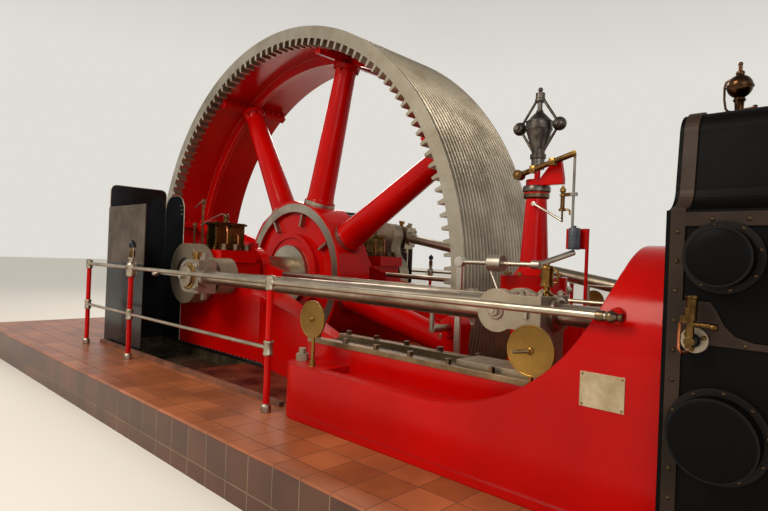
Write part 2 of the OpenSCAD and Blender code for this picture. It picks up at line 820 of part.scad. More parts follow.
// Rocker that hands the eccentric's motion across to the valves
rocker_lead = 580;
rocker_x = bed_x0 + rocker_lead;
governor_x = rocker_x + governor_lead;
rocker_h = 600;
rocker_pin_h = 862;
rocker_r = 28;
rocker_boss_r = 85;
rocker_setback = 60;
rocker_w = 140;
rocker_y0 = bearing_y0 + rocker_setback;
rocker_y1 = rocker_y0 + rocker_w;
reach_gap = 35;
reach_y = bed_y0 - reach_gap;
reach_h = 905;
reach_r = 14;
reach_arm_r = 20;
ecc_rod_r = 30;
ecc_rod_rise = 30;
// Wide enough for the sloping rod's end to stand clear of the fork
ecc_rod_gap = 1.2;
ecc_eye_r = 42;
ecc_eye_w = 80;
module valve_rod() {
    bar([ecc_end_x + ecc_rod_gap, ecc_y, shaft_h + ecc_rod_rise],
        [rocker_x, ecc_y, rocker_pin_h], ecc_rod_r);
    rod_along_y(ecc_eye_r, rocker_x, rocker_pin_h, ecc_y - ecc_eye_w / 2, ecc_y + ecc_eye_w / 2);
    bar([rocker_x, ecc_y, rocker_h], [rocker_x, ecc_y, rocker_pin_h], rocker_r);
    rod_along_y(rocker_r, rocker_x, rocker_h, ecc_y, reach_y);
    bar([rocker_x, reach_y, rocker_h], [rocker_x, reach_y, reach_h], reach_arm_r);
    rod_along_x(reach_r, reach_y, reach_h, rocker_x, cylinder_x0 - running_gap);
}

module valve_rods() color(bare_steel) both_sides() valve_rod();

rocker_foot_half_l = 150;
rocker_foot_h = 60;
rocker_foot_out = 20;
module rocker_stand() {
    y0 = rocker_y0 - rocker_foot_out;
    y1 = rocker_y1 + rocker_foot_out;
    difference() {
        union() {
            block([rocker_x - rocker_boss_r, rocker_y0, 0],
                  [rocker_x + rocker_boss_r, rocker_y1, rocker_h]);
            rod_along_y(rocker_boss_r, rocker_x, rocker_h, y0, y1);
            block([rocker_x - rocker_foot_half_l, y0, 0],
                  [rocker_x + rocker_foot_half_l, y1, rocker_foot_h]);
        }
        rod_along_y(rocker_r + running_gap, rocker_x, rocker_h, y0 - cut, y1 + cut);
    }
}

module rocker_stands() color(enamel) both_sides() rocker_stand();

// Weighted lever beside the near bed, on a flat post
weight_gap = 90;
weight_y = bed_y0 - weight_gap;
weight_h = 1120;
weight_lead = 780;
weight_post_x = bed_x0 + weight_lead;
weight_setback = 260;
weight_x0 = weight_post_x + weight_setback;
weight_l = 105;
weight_r = 58;
weight_bar_l = 610;
weight_end_x = weight_post_x + weight_bar_l;
weight_post_w = 44;
weight_post_t = 24;
weight_eye_r = 38;
weight_eye_w = 48;
weight_bar_r = 16;
weight_collar_r = 30;
weight_collar_l = 20;
weight_tip_l = 60;
weight_link_r = 20;
weight_hook_r = 8;
weight_hook_lead = 100;
module weight_lever() {
    tip_x = weight_end_x + weight_tip_l / 3;
    color(bare_steel) near_side() {
        block([weight_post_x - weight_post_w / 2, weight_y - weight_post_t / 2, 0],
              [weight_post_x + weight_post_w / 2, weight_y + weight_post_t / 2, weight_h]);
        rod_along_y(weight_eye_r, weight_post_x, weight_h,
                    weight_y - weight_eye_w / 2, weight_y + weight_eye_w / 2);
        rod_along_x(weight_bar_r, weight_y, weight_h, weight_post_x, weight_end_x);
        rod_along_x(weight_r, weight_y, weight_h, weight_x0, weight_x0 + weight_l);
        rod_along_x(weight_collar_r, weight_y, weight_h, weight_x0 - weight_collar_l, weight_x0);
        rod_along_x(weight_collar_r, weight_y, weight_h,
                    tip_x - 2 * weight_tip_l / 3, tip_x + weight_tip_l / 3);
        bar([tip_x, weight_y, weight_h],
            [governor_x + dashpot_x, governor_y + lever_y, dashpot_h - weight_post_t], weight_link_r);
        bar([weight_x0 - weight_link_r, weight_y, weight_h],
            [weight_x0 + weight_hook_lead, reach_y - reach_r - weight_hook_r - 1, reach_h + weight_hook_r],
            weight_hook_r);
    }
}

// Governor

lever_y = 125;
lever_r = 20;
lever_x = [-78, 345];
lever_h = [1772, 1893];
lever_slope = (lever_h[1] - lever_h[0]) / (lever_x[1] - lever_x[0]);
lever_pivot_x = 183;
lever_pivot_h = lever_h[0] + (lever_pivot_x - lever_x[0]) * lever_slope;
dashpot_x = 362;
dashpot_h = 1238;
dashpot_l = 140;
dashpot_r = 37;
// Post beside the column, with a plate behind the dashpot
plate_t = 24;
plate_y = lever_y - dashpot_r - running_gap;
dash_post_x = 432;
drip_x = 268;
drip_h = 1423;
column_base_h = 881;
column_base_r = [200, 130];
column_drum_h = 156;
column_drum_r = 240;
column_foot_h = 60;
column_foot_r = [150, 105];
column_tip_r = 75;
column_cap_h = 67;
column_cap_r = 80;
column_ring_h = 67;
column_ring_r = 92;
spindle_r = 22;
spindle_l = 120;
bracket_y = [30, 70];
bracket_x = [30, 235];
bracket_drop = 50;
bracket_h = 40;
bracket_boss = 30;
lever_pin_r = 14;
dash_plate_lead = 76;

module governor_stand() {
    color(enamel) near_side() translate([governor_x, governor_y, 0]) {
        drum_top_h = column_base_h + column_drum_h;
        foot_top_h = drum_top_h + column_foot_h;
        cap_h = governor_cap_h - column_cap_h;
        ring_h = cap_h - column_ring_h;
        cylinder(h = column_base_h, r1 = column_base_r[0], r2 = column_base_r[1]);
        translate([0, 0, column_base_h]) cylinder(h = column_drum_h, r = column_drum_r);
        translate([0, 0, drum_top_h])
            cylinder(h = column_foot_h, r1 = column_foot_r[0], r2 = column_foot_r[1]);
        translate([0, 0, foot_top_h])
            cylinder(h = ring_h - foot_top_h, r1 = column_foot_r[1], r2 = column_tip_r);
        translate([0, 0, ring_h]) cylinder(h = column_ring_h, r = column_ring_r);
        translate([0, 0, cap_h]) cylinder(h = column_cap_h, r = column_cap_r);
        translate([0, 0, governor_cap_h]) cylinder(h = spindle_l, r = spindle_r);
        // Bracket that carries the lever's pivot
        side_profile(bracket_y[0], bracket_y[1]) polygon([
            [bracket_x[0], governor_cap_h - bracket_drop], [bracket_x[1], governor_cap_h - bracket_drop],
            [bracket_x[1], governor_cap_h - bracket_drop + bracket_h],
            [lever_pivot_x + bracket_boss, lever_pivot_h + bracket_boss / 2],
            [lever_pivot_x - bracket_boss, lever_pivot_h + bracket_boss / 2],
            [2 * bracket_x[0], governor_cap_h]
        ]);
        rod_along_y(lever_pin_r, lever_pivot_x, lever_pivot_h,
                    bracket_y[1] - cut, lever_y - lever_r - running_gap);
        translate([dash_post_x, plate_y - plate_t / 2, 0])
            cylinder(h = dashpot_h + dashpot_l, r = plate_t / 2);
        block([dashpot_x - dash_plate_lead, plate_y - plate_t, dashpot_h],
              [dash_post_x, plate_y, dashpot_h + dashpot_l]);
    }
}

lever_eye_r = 36;
lever_eye_w = 60;
lever_rod_r = 9;
drip_clamp_h = 176;
drip_clamp_t = 24;
drip_clamp_out = 26;
drip_glass_h = 75;
drip_glass_l = 154;
drip_glass_r = 15;
drip_pipe_r = 7;
module governor_levers() {
    color(brass) near_side() translate([governor_x, governor_y, 0]) {
        bar([lever_x[0], lever_y, lever_h[0]], [lever_x[1], lever_y, lever_h[1]], lever_r);
        rod_along_y(lever_eye_r, lever_x[0], lever_h[0],
                    lever_y - lever_eye_w / 2, lever_y + lever_eye_w / 2);
        translate([lever_x[1], lever_y, dashpot_h + dashpot_l - cut])
            cylinder(h = lever_h[1] - dashpot_h - dashpot_l + cut, r = lever_rod_r);
        translate([dashpot_x, lever_y, dashpot_h]) cylinder(h = dashpot_l, r = dashpot_r);
        // Drip oiler clamped to the lever's rod
        block([drip_x, lever_y - lever_rod_r, drip_h + drip_clamp_h],
              [lever_x[1] + drip_clamp_out, lever_y + lever_rod_r, drip_h + drip_clamp_h + drip_clamp_t]);
        translate([drip_x, lever_y, drip_h + drip_glass_h]) cylinder(h = drip_glass_l, r = drip_glass_r);
        translate([drip_x, lever_y, drip_h]) cylinder(h = drip_glass_h, r = drip_pipe_r);
    }
}

// Turning head: spindle sleeve, double-cone weight, collar, two balls and their arms
sleeve_r = 48;
head_gap = 80;
head_seat_h = governor_cap_h + head_gap;
cone_foot_r = 50;
cone_tip_r = 26;
cone_foot_drop = 173;
cone_drop = 27;
cone_rise = 33;
cone_tip_rise = 106;
cone_h = [governor_ball_h - cone_foot_drop, governor_ball_h - cone_drop,
          governor_ball_h + cone_rise, governor_ball_h + cone_tip_rise];
collar_rise = 179;
collar_h = governor_ball_h + collar_rise;
collar_l = 67;
collar_r = 34;
head_spindle_r = 18;
finial_h = collar_h + collar_l;
finial_l = 20;
finial_r = 12;
finial_ball_r = 18;
arm_r = 10;
arm_top_x = 24;
arm_foot_x = 36;
arm_foot_drop = 22;
module governor_head() {
    color(casing_black) near_side() translate([governor_x, governor_y, 0]) {
        difference() {
            union() {
                translate([0, 0, head_seat_h]) cylinder(h = cone_h[0] - head_seat_h, r = sleeve_r);
                translate([0, 0, cone_h[0]])
                    cylinder(h = cone_h[1] - cone_h[0], r1 = cone_foot_r, r2 = governor_weight_r);
                translate([0, 0, cone_h[1]]) cylinder(h = cone_h[2] - cone_h[1], r = governor_weight_r);
                translate([0, 0, cone_h[2]])
                    cylinder(h = cone_h[3] - cone_h[2], r1 = governor_weight_r, r2 = cone_tip_r);
                translate([0, 0, cone_h[3]]) cylinder(h = collar_h - cone_h[3], r = head_spindle_r);
                translate([0, 0, collar_h]) cylinder(h = collar_l, r = collar_r);
                translate([0, 0, finial_h]) cylinder(h = finial_l, r = finial_r);
                translate([0, 0, finial_h + finial_l + finial_r / 2]) sphere(r = finial_ball_r);
            }
            translate([0, 0, governor_cap_h - cut])
                cylinder(h = spindle_l + cut + running_gap, r = spindle_r + running_gap);
        }
        for (s = [-1, 1]) {
            translate([s * governor_ball_path_r, 0, governor_ball_h]) sphere(r = governor_ball_r);
            bar([s * governor_ball_path_r, 0, governor_ball_h],
                [s * arm_top_x, 0, collar_h + collar_l / 3], arm_r);
            bar([s * governor_ball_path_r, 0, governor_ball_h],
                [s * arm_foot_x, 0, cone_h[0] - arm_foot_drop], arm_r);
        }
    }
}

// Guards and rails

// Free walkway behind the crank, and the middle post's place
post_back = 5;
middle_post_x = 220;
post_lead = 80;
post_x = [crank_pit_x0 - post_back, middle_post_x, bed_x0 - post_lead];
post_foot_h = 40;
post_foot_w = 14;
post_socket_h = 60;
module handrail_post(x) {
    translate([x, rail_y, 0]) {
        cylinder(h = post_foot_h, r = post_r + post_foot_w);
        cylinder(h = post_h - post_socket_h / 2, r = post_r);
        translate([0, 0, post_h - post_socket_h / 2]) cylinder(h = post_socket_h, r = post_r + post_ring);
    }
}

module handrail_posts() color(enamel) both_sides() for (x = post_x) handrail_post(x);

rail_ball_r = 24;
rail_pin_r = 16;
post_ring = 6;
module top_rail() {
    difference() {
        rod_along_x(rail_r, rail_y, post_h, post_x[0], rail_end_x);
        for (x = post_x) translate([x, rail_y, 0])
            cylinder(h = 2 * post_h, r = post_r + post_ring + running_gap);
    }
    translate([rail_end_x, rail_y, post_h]) sphere(r = rail_ball_r);
    rod_along_y(rail_pin_r, rail_end_x, post_h, rail_boss_y + running_gap, rail_y);
}

lower_rail_less = 4;
module lower_rail() {
    difference() {
        rod_along_x(rail_r - lower_rail_less, rail_y, lower_rail_h, post_x[0], post_x[2]);
        for (x = post_x) translate([x, rail_y, 0]) cylinder(h = post_h, r = post_r + running_gap);
    }
}

module hand_rails() {
    color(bare_steel) both_sides() {
        top_rail();
        lower_rail();
    }
}

// Upright sheet with rounded upper corners, in its own plane from u0 to u1
module guard_outline(u0, u1, h, r) {
    translate([u0, 0]) square([u1 - u0, h - r]);
    translate([u0 + r, 0]) square([u1 - u0 - 2 * r, h]);
    for (u = [u0 + r, u1 - r]) translate([u, h - r]) circle(r = r);
}

end_guard_setback = 60;
end_guard_corner_r = 70;
module end_guard() {
    x = crank_pit_x0 - end_guard_setback;
    cross_profile(x, x + guard_t)
        guard_outline(guard_inner_y, guard_front_y, end_guard_h, end_guard_corner_r);
}

module end_guards() color(guard_black) both_sides() end_guard();

// Lies between the end guard and the bed's foot
inner_guard_setback = 40;
inner_guard_gap = 10;
inner_guard_corner_r = 180;
module inner_guard() {
    side_profile(guard_inner_y, guard_inner_y + guard_t)
        guard_outline(crank_pit_x0 - inner_guard_setback, foot_x0 - inner_guard_gap,
                      inner_guard_h, inner_guard_corner_r);
}

module inner_guards() color(guard_black) both_sides() inner_guard();

front_guard_x1 = 0;
front_guard_corner_r = 8;
module front_guard() {
    side_profile(guard_front_y, guard_front_y + guard_t)
        guard_outline(crank_pit_x0 - end_guard_setback, front_guard_x1,
                      front_guard_h, front_guard_corner_r);
}

module front_guards() color(guard_black) both_sides() front_guard();

// Brass discs on posts that wipe oil on to the slide
disc_r = 125;
disc_t = 10;
disc_post_r = 12;
disc_lead = [270, 27.5];
disc_rise = [206, 220];
disc_x = [bed_x0 + disc_lead[0], slide_x1 + disc_lead[1]];
disc_h = [for (rise = disc_rise) slide_h + rise];
disc_setback = [60, bed_wall_t + 20];
module oil_disc(x, y, z, foot_h) {
    rod_along_y(disc_r, x, z, y - disc_t, y);
    translate([x, y - 2 * disc_t, foot_h]) cylinder(h = z - foot_h, r = disc_post_r);
}

module oil_discs() {
    color(brass) both_sides() {
        oil_disc(disc_x[0], bed_y1 - disc_setback[0], disc_h[0], bed_wall_h);
        oil_disc(disc_x[1], bed_y1 - disc_setback[1], disc_h[1], trough_floor_h);
    }
}

// Sight-feed oiler on the middle post, across from the crank
feed_stem_h = 60;
feed_stem_r = 12;
feed_cup_r = 30;
feed_cup_h = 90;
feed_cap_h = 24;
feed_cap_r = 14;
module post_oiler() {
    translate([post_x[1], rail_y, post_h + post_socket_h / 2]) {
        cylinder(h = feed_stem_h, r = feed_stem_r);
        translate([0, 0, feed_stem_h]) cylinder(h = feed_cup_h, r = feed_cup_r);
        translate([0, 0, feed_stem_h + feed_cup_h]) cylinder(h = feed_cap_h, r = feed_cap_r);
    }
}

module post_oilers() color(brass) both_sides() post_oiler();

hold_lead = 70;
hold_setback = 150;
hold_nut_r = 45;
hold_nut_h = 50;
hold_stud_r = 26;
hold_stud_h = 90;
module holding_down_bolts() {
    color(bare_steel) both_sides() translate([bed_x0 + hold_lead, bed_y1 - hold_setback, bed_wall_h]) {
        cylinder(h = hold_nut_h, r = hold_nut_r, $fn = 6);
        cylinder(h = hold_stud_h, r = hold_stud_r);
    }
}

// Flywheel, around the shaft's axis, written lying in the XY plane with its face up

module on_shaft() on_top() translate([0, 0, shaft_h]) rotate([90, 0, 0]) children();

function groove_points(i) = let (y = (i - (groove_n - 1) / 2) * groove_pitch) [
    [wheel_r, y - groove_pitch / 2 + groove_land / 2], [wheel_r - groove_depth, y - groove_floor / 2],
    [wheel_r - groove_depth, y + groove_floor / 2], [wheel_r, y + groove_pitch / 2 - groove_land / 2]
];

module wheel_rim() {
    color(bare_steel) on_shaft() rotate_extrude() polygon(concat(
        [[rim_shelf_r, wheel_w / 2], [rim_shelf_r, wheel_w / 2 - barring_ring_w]],
        [[rim_inner_r, wheel_w / 2 - barring_ring_w]],
        [[rim_inner_r, rim_rib_w / 2], [rib_inner_r, rim_rib_w / 2]],
        [[rib_inner_r, -rim_rib_w / 2], [rim_inner_r, -rim_rib_w / 2], [rim_inner_r, -wheel_w / 2]],
        [[wheel_r, -wheel_w / 2]],
        [for (i = [0 : groove_n - 1]) each groove_points(i)],
        [[wheel_r, wheel_w / 2]]
    ));
}

// Facets of the great circles inside the rim
ring_facets = 720;

// Internal teeth as one outline around the ring. A gap takes root_share of a pitch on either side
// of its middle, and a tooth's tip begins at tip_share.
root_share = 0.32;
tip_share = 0.38;
function tooth_point(a, r) = [r * cos(a), r * sin(a)];
module barring_ring() {
    step = 360 / tooth_n;
    color(bare_steel) on_shaft() translate([0, 0, wheel_w / 2 - barring_ring_w])
        linear_extrude(barring_ring_w) difference() {
            circle(r = rim_shelf_r, $fn = ring_facets);
            polygon([for (i = [0 : tooth_n - 1]) each [
                tooth_point((i - root_share) * step, tooth_root_r),
                tooth_point((i + root_share) * step, tooth_root_r),
                tooth_point((i + tip_share) * step, tooth_tip_r),
                tooth_point((i + 1 - tip_share) * step, tooth_tip_r)
            ]]);
        }
}

module at_spokes() for (i = [0 : spoke_n - 1]) rotate([0, 0, spoke_phase + i * 360 / spoke_n]) children();

// Cylinder that points outwards from the shaft's axis
module outward(x0, x1, r1, r2)
    translate([x0, 0, 0]) rotate([0, 90, 0]) cylinder(h = x1 - x0, r1 = r1, r2 = r2);

// Round spokes with a collar on the hub and a palm under the rim's rib
spoke_collar_t = 60;
spoke_collar_w = 28;
spoke_palm_t = 60;
spoke_palm_w = 40;
module wheel_spokes() {
    x0 = hub_r + running_gap;
    palm_x = rib_inner_r - spoke_palm_t;
    color(enamel) on_shaft() intersection() {
        at_spokes() {
            outward(x0, x0 + spoke_collar_t, spoke_root_r + spoke_collar_w, spoke_root_r + spoke_collar_w);
            outward(x0 + spoke_collar_t, palm_x, spoke_root_r, spoke_tip_r);
            outward(palm_x, wheel_r, spoke_tip_r + spoke_palm_w, spoke_tip_r + spoke_palm_w);
        }
        cylinder(h = wheel_w, r = rib_inner_r - running_gap, center = true, $fn = ring_facets);
    }
}

// Flanges where the rim's segments are bolted together, in pairs over each spoke
joint_gap = 2;
joint_clear = 6;
module rim_joints() {
    color(enamel) on_shaft() intersection() {
        at_spokes() for (side = [-1, 1], z = [
            [rim_rib_w / 2 + joint_clear, wheel_w / 2 - barring_ring_w - joint_clear],
            [-wheel_w / 2 + barring_ring_w / 2, -rim_rib_w / 2 - joint_clear]
        ])
            block([rib_inner_r, side > 0 ? joint_gap / 2 : -joint_gap / 2 - joint_flange_t, z[0]],
                  [wheel_r, side > 0 ? joint_gap / 2 + joint_flange_t : -joint_gap / 2, z[1]]);
        cylinder(h = wheel_w, r = rim_inner_r - running_gap, center = true, $fn = ring_facets);
    }
}

// Hub with flats for the spokes, a sunk web, a bead round the boss and a cotter for each spoke
hub_lip = 25;
hub_bead_r = [475, 525];
hub_bead_h = 15;
cotter_x = [640, 800];
cotter_t = 30;
cotter_h = 70;
module wheel_hub() {
    web_z = hub_w / 2 - hub_web_depth;
    color(enamel) on_shaft() {
        difference() {
            union() {
                translate([0, 0, -hub_w / 2]) linear_extrude(hub_w) intersection() {
                    circle(r = hub_r + hub_lip, $fn = 96);
                    rotate([0, 0, spoke_phase + 180 / spoke_n])
                        circle(r = hub_r / cos(180 / spoke_n), $fn = spoke_n);
                }
                cylinder(h = hub_w + 2 * hub_bead_h, r = hub_bead_r[1], center = true);
                translate([0, 0, -hub_boss_l / 2]) cylinder(h = hub_boss_l, r = hub_boss_r);
            }
            for (s = [0, 1]) mirror([0, 0, s]) {
                translate([0, 0, web_z]) difference() {
                    cylinder(h = hub_w, r = hub_web_r, $fn = 96);
                    translate([0, 0, -cut]) cylinder(h = 2 * hub_w, r = hub_bead_r[1]);
                }
                translate([0, 0, hub_w / 2]) difference() {
                    cylinder(h = hub_w, r = hub_bead_r[0]);
                    translate([0, 0, -cut]) cylinder(h = 2 * hub_w, r = hub_boss_r);
                }
            }
            translate([0, 0, -hub_boss_l]) cylinder(h = 2 * hub_boss_l, r = hub_seat_r);
        }
        for (s = [0, 1]) mirror([0, 0, s]) at_spokes()
            block([cotter_x[0], -cotter_t / 2, web_z - cut], [cotter_x[1], cotter_t / 2, web_z + cotter_h]);
    }
}

// How far the shaft's ends stand out of the cranks, clear of the pins
shaft_end_out = pin_gap - moving_gap;
module crankshaft() {
    color(bare_steel) on_top() {
        rod_along_y(hub_seat_r, 0, shaft_h, -bearing_y0, bearing_y0);
        for (s = [0, 1]) mirror([0, s, 0]) {
            rod_along_y(journal_r, 0, shaft_h, bearing_y0, crank_y0);
            rod_along_y(crank_seat_r, 0, shaft_h, crank_y0, crank_y1 + shaft_end_out);
        }
    }
}

// Crank with its counterweight, pin end towards +X, lying around the shaft's axis. A hollow of
// crank_hollow_r touches both rounds on either side.
hollow_x = (crank_r * crank_r + pow(crank_weight_r + crank_hollow_r, 2)
    - pow(crank_eye_r + crank_hollow_r, 2)) / (2 * crank_r);
hollow_y = sqrt(pow(crank_weight_r + crank_hollow_r, 2) - hollow_x * hollow_x);
// Step that keeps the hollow's edge clear of the two rounds' edges
hollow_step = 0.5;
module crank_waist() {
    hollow = [hollow_x, hollow_y];
    difference() {
        polygon([[0, 0], hollow, [crank_r, 0], [hollow.x, -hollow.y]]);
        for (s = [-1, 1]) translate([hollow_x, s * hollow_y]) circle(r = crank_hollow_r - hollow_step);
    }
}

module crank(turn) {
    translate([0, crank_y0, shaft_h]) rotate([0, -turn, 0]) rotate([-90, 0, 0]) difference() {
        union() {
            cylinder(h = crank_t, r = crank_weight_r, $fn = 96);
            translate([crank_r, 0, 0]) cylinder(h = crank_t, r = crank_eye_r);
            linear_extrude(crank_t) crank_waist();
        }
        translate([0, 0, -cut]) cylinder(h = crank_t + 2 * cut, r = crank_seat_r);
    }
}

module near_crank() color(bare_steel) near_side() crank(0);
module far_crank() color(bare_steel) far_side() crank(90);

// Connecting rod around the origin of its crosshead pin, pointing towards -X
crosshead_eye_w = 170;
crosshead_eye_wall = 40;
rod_neck_l = 60;
rod_neck_r = 105;
cotter_w = 55;
cotter_thick = 44;
cotter_head = 70;
cotter_tail = 45;
cotter_setback = 150;
pin_end_out = 30;
module connecting_rod() {
    neck_x = -rod_l + big_end_l / 2;
    difference() {
        union() {
            rotate([0, -90, 0]) cylinder(h = rod_l, r1 = rod_crosshead_r, r2 = rod_crank_r);
            rod_along_y(crosshead_pin_r + crosshead_eye_wall, 0, 0,
                        -crosshead_eye_w / 2, crosshead_eye_w / 2);
        }
        rod_along_y(crosshead_pin_r + running_gap, 0, 0, -big_end_w, big_end_w);
    }
    rod_along_x(rod_neck_r, 0, 0, neck_x - cut, neck_x + rod_neck_l);
    // Strap with a rounded outer end, and its cotter
    block([-rod_l - big_end_l / 2 + big_end_h / 2, -big_end_w / 2, -big_end_h / 2],
          [neck_x, big_end_w / 2, big_end_h / 2]);
    rod_along_y(big_end_h / 2, -rod_l - big_end_l / 2 + big_end_h / 2, 0, -big_end_w / 2, big_end_w / 2);
    block([-rod_l + cotter_setback - cotter_w / 2, -cotter_thick / 2, -big_end_h / 2 - cotter_tail],
          [-rod_l + cotter_setback + cotter_w / 2, cotter_thick / 2, big_end_h / 2 + cotter_head]);
    // Crank pin, carried by the big end
    rod_along_y(crank_pin_r, -rod_l, 0, -rod_offset + pin_gap, big_end_w / 2 + pin_end_out);
}

module near_connecting_rod() {
    color(bare_steel) near_side() translate([pin_stop_x, rod_y, shaft_h]) connecting_rod();
}

module far_connecting_rod() {
    color(bare_steel) far_side() translate([far_pin_x, rod_y, shaft_h])
        rotate([0, far_tilt, 0]) connecting_rod();
}

// Oil cup on the strap
strap_cup_r = 46;
strap_cup_h = 80;
strap_cup_lead = 30;
strap_cup_foot = 0.7;
module strap_cup() {
    translate([-rod_l - strap_cup_lead, 0, big_end_h / 2 + running_gap]) {
        cylinder(h = strap_cup_h / 2, r = strap_cup_r * strap_cup_foot);
        translate([0, 0, strap_cup_h / 2]) cylinder(h = strap_cup_h / 2, r = strap_cup_r);
    }
}

module near_strap_cup() {
    color(brass) near_side() translate([pin_stop_x, rod_y, shaft_h]) strap_cup();
}

module far_strap_cup() {
    color(brass) far_side() translate([far_pin_x, rod_y, shaft_h]) rotate([0, far_tilt, 0]) strap_cup();
}

// Arm that turns with the crank and feeds its pin from the shaft's centre line
pin_arm_r = 12;
pin_arm_out = 40;
pin_end_y = big_end_w / 2 + pin_end_out;
pin_arm_y = pin_end_y + pin_arm_out;
pin_ball_r = 40;
module pin_oiler(turn) {
    translate([0, rod_y, shaft_h]) rotate([0, -turn, 0]) {
        rod_along_y(2 * pin_arm_r, crank_r, 0, pin_end_y + running_gap, pin_arm_y + 2 * pin_arm_r);
        rod_along_x(pin_arm_r, pin_arm_y, 0, 0, crank_r);
        translate([0, pin_arm_y, 0]) sphere(r = pin_ball_r);
    }
}

module pin_oilers() {
    color(brass) near_side() pin_oiler(0);
    color(brass) far_side() pin_oiler(90);
}

// Crosshead around its pin: slipper below, forked round body and the block that holds the rod
slot_clear = 5;
body_l = 270;
body_half_h = 93;
slipper_clear = 4;
module crosshead() {
    slot_x1 = crosshead_pin_r + crosshead_eye_wall + 2 * slot_clear;
    slipper_y = slide_w / 2 - keeper_w - slipper_clear;
    slipper_z = slide_h + running_gap - shaft_h;
    difference() {
        union() {
            rod_along_y(crosshead_r, 0, 0, -crosshead_w / 2, crosshead_w / 2);
            block([0, -crosshead_w / 2, -body_half_h], [body_l, crosshead_w / 2, body_half_h]);
        }
        block([-crosshead_r - cut, -crosshead_eye_w / 2 - slot_clear, -crosshead_r - cut],
              [slot_x1, crosshead_eye_w / 2 + slot_clear, crosshead_r + cut]);
    }
    rod_along_y(crosshead_pin_r, 0, 0, -crosshead_w / 2, crosshead_w / 2);
    block([-slipper_l / 2, -slipper_y, slipper_z], [slipper_l / 2, slipper_y, slipper_z + slipper_t]);
    // Foot between the body and the slipper
    block([slot_x1, -slipper_y, slipper_z + slipper_t - cut],
          [body_l, slipper_y, cut - body_half_h]);
}

// Brass cup on the crosshead's top
cup_r = 34;
cup_h = 110;
cup_stem_h = 50;
cup_setback = 50;
module oil_cup() {
    translate([body_l - cup_setback, 0, body_half_h + running_gap]) {
        cylinder(h = cup_stem_h, r = cup_r / 2);
        translate([0, 0, cup_stem_h]) cylinder(h = cup_h, r = cup_r);
        translate([0, 0, cup_stem_h + cup_h]) cylinder(h = cup_r / 2, r = cup_r / 3);
    }
}

module near_oil_cup() color(brass) near_side() translate([pin_stop_x, rod_y, shaft_h]) oil_cup();
module far_oil_cup() color(brass) far_side() translate([far_pin_x, rod_y, shaft_h]) oil_cup();

module near_crosshead() color(bare_steel) near_side() translate([pin_stop_x, rod_y, shaft_h]) crosshead();
module far_crosshead() color(bare_steel) far_side() translate([far_pin_x, rod_y, shaft_h]) crosshead();

// Piston rod from the crosshead's body to near the end of its bore
piston_rod_clear = 80;
piston_rod_x1 = gland_reach + 2 * crank_r + casing_extra - end_wall_t - piston_rod_clear;
module piston_rod() rod_along_x(piston_rod_r, 0, 0, body_l, piston_rod_x1);

module near_piston_rod() color(bare_steel) near_side() translate([pin_stop_x, rod_y, shaft_h]) piston_rod();
module far_piston_rod() color(bare_steel) far_side() translate([far_pin_x, rod_y, shaft_h]) piston_rod();

near_foundation();
far_foundation();
end_foundation();
race_floor();
race_wall();
crank_trays();
near_bed();
far_bed();
bearing_caps();
oil_boxes();
slide_keepers();
near_cylinder();
far_cylinder();
casing_bands();
valve_covers();
rod_glands();
indicator_cocks();
drain_valves();
ball_lubricators();
blank_plate();
eccentrics();
valve_rods();
rocker_stands();
weight_lever();
governor_stand();
governor_levers();
handrail_posts();
hand_rails();
end_guards();
inner_guards();
front_guards();
oil_discs();
post_oilers();
holding_down_bolts();
wheel_rim();
barring_ring();
rim_joints();
wheel_spokes();
wheel_hub();
crankshaft();
near_crank();
far_crank();
pin_oilers();
near_connecting_rod();
far_connecting_rod();
near_strap_cup();
far_strap_cup();
near_crosshead();
far_crosshead();
near_oil_cup();
far_oil_cup();
near_piston_rod();
far_piston_rod();
governor_head();
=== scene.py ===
# %% [markdown]
# # Dressing a horizontal cross-compound mill engine
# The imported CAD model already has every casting, rod and rail in its real place. This lesson
# adds what a drawing leaves out: paint, bare metal, tiles, screws, pipes, edgings and light.
# Everything is in metres, in the CAD model's own frame, so nothing has to be fitted by eye.

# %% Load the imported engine
import math
import bmesh
import bpy
from mathutils import Matrix, Vector


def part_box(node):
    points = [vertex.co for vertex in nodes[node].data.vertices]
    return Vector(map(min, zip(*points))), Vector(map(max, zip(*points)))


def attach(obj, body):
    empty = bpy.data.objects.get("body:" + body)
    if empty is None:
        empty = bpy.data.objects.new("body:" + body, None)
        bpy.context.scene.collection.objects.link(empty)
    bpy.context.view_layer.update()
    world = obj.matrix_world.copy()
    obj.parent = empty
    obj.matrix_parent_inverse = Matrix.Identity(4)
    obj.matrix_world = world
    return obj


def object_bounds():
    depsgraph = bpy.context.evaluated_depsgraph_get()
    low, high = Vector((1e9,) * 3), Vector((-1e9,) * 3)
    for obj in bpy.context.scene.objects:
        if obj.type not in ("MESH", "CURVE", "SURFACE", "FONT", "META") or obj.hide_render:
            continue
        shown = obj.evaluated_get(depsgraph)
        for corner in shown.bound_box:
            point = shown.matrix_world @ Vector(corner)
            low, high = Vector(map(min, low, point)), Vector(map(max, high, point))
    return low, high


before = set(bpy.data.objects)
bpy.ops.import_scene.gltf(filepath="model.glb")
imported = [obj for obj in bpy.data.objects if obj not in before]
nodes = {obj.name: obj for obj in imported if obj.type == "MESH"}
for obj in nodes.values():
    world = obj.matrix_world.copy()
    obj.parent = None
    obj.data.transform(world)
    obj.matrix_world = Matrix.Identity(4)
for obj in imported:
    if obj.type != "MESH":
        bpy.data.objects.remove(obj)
cad_low, cad_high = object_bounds()
print("CAD box", [round(v, 3) for v in cad_low], [round(v, 3) for v in cad_high])

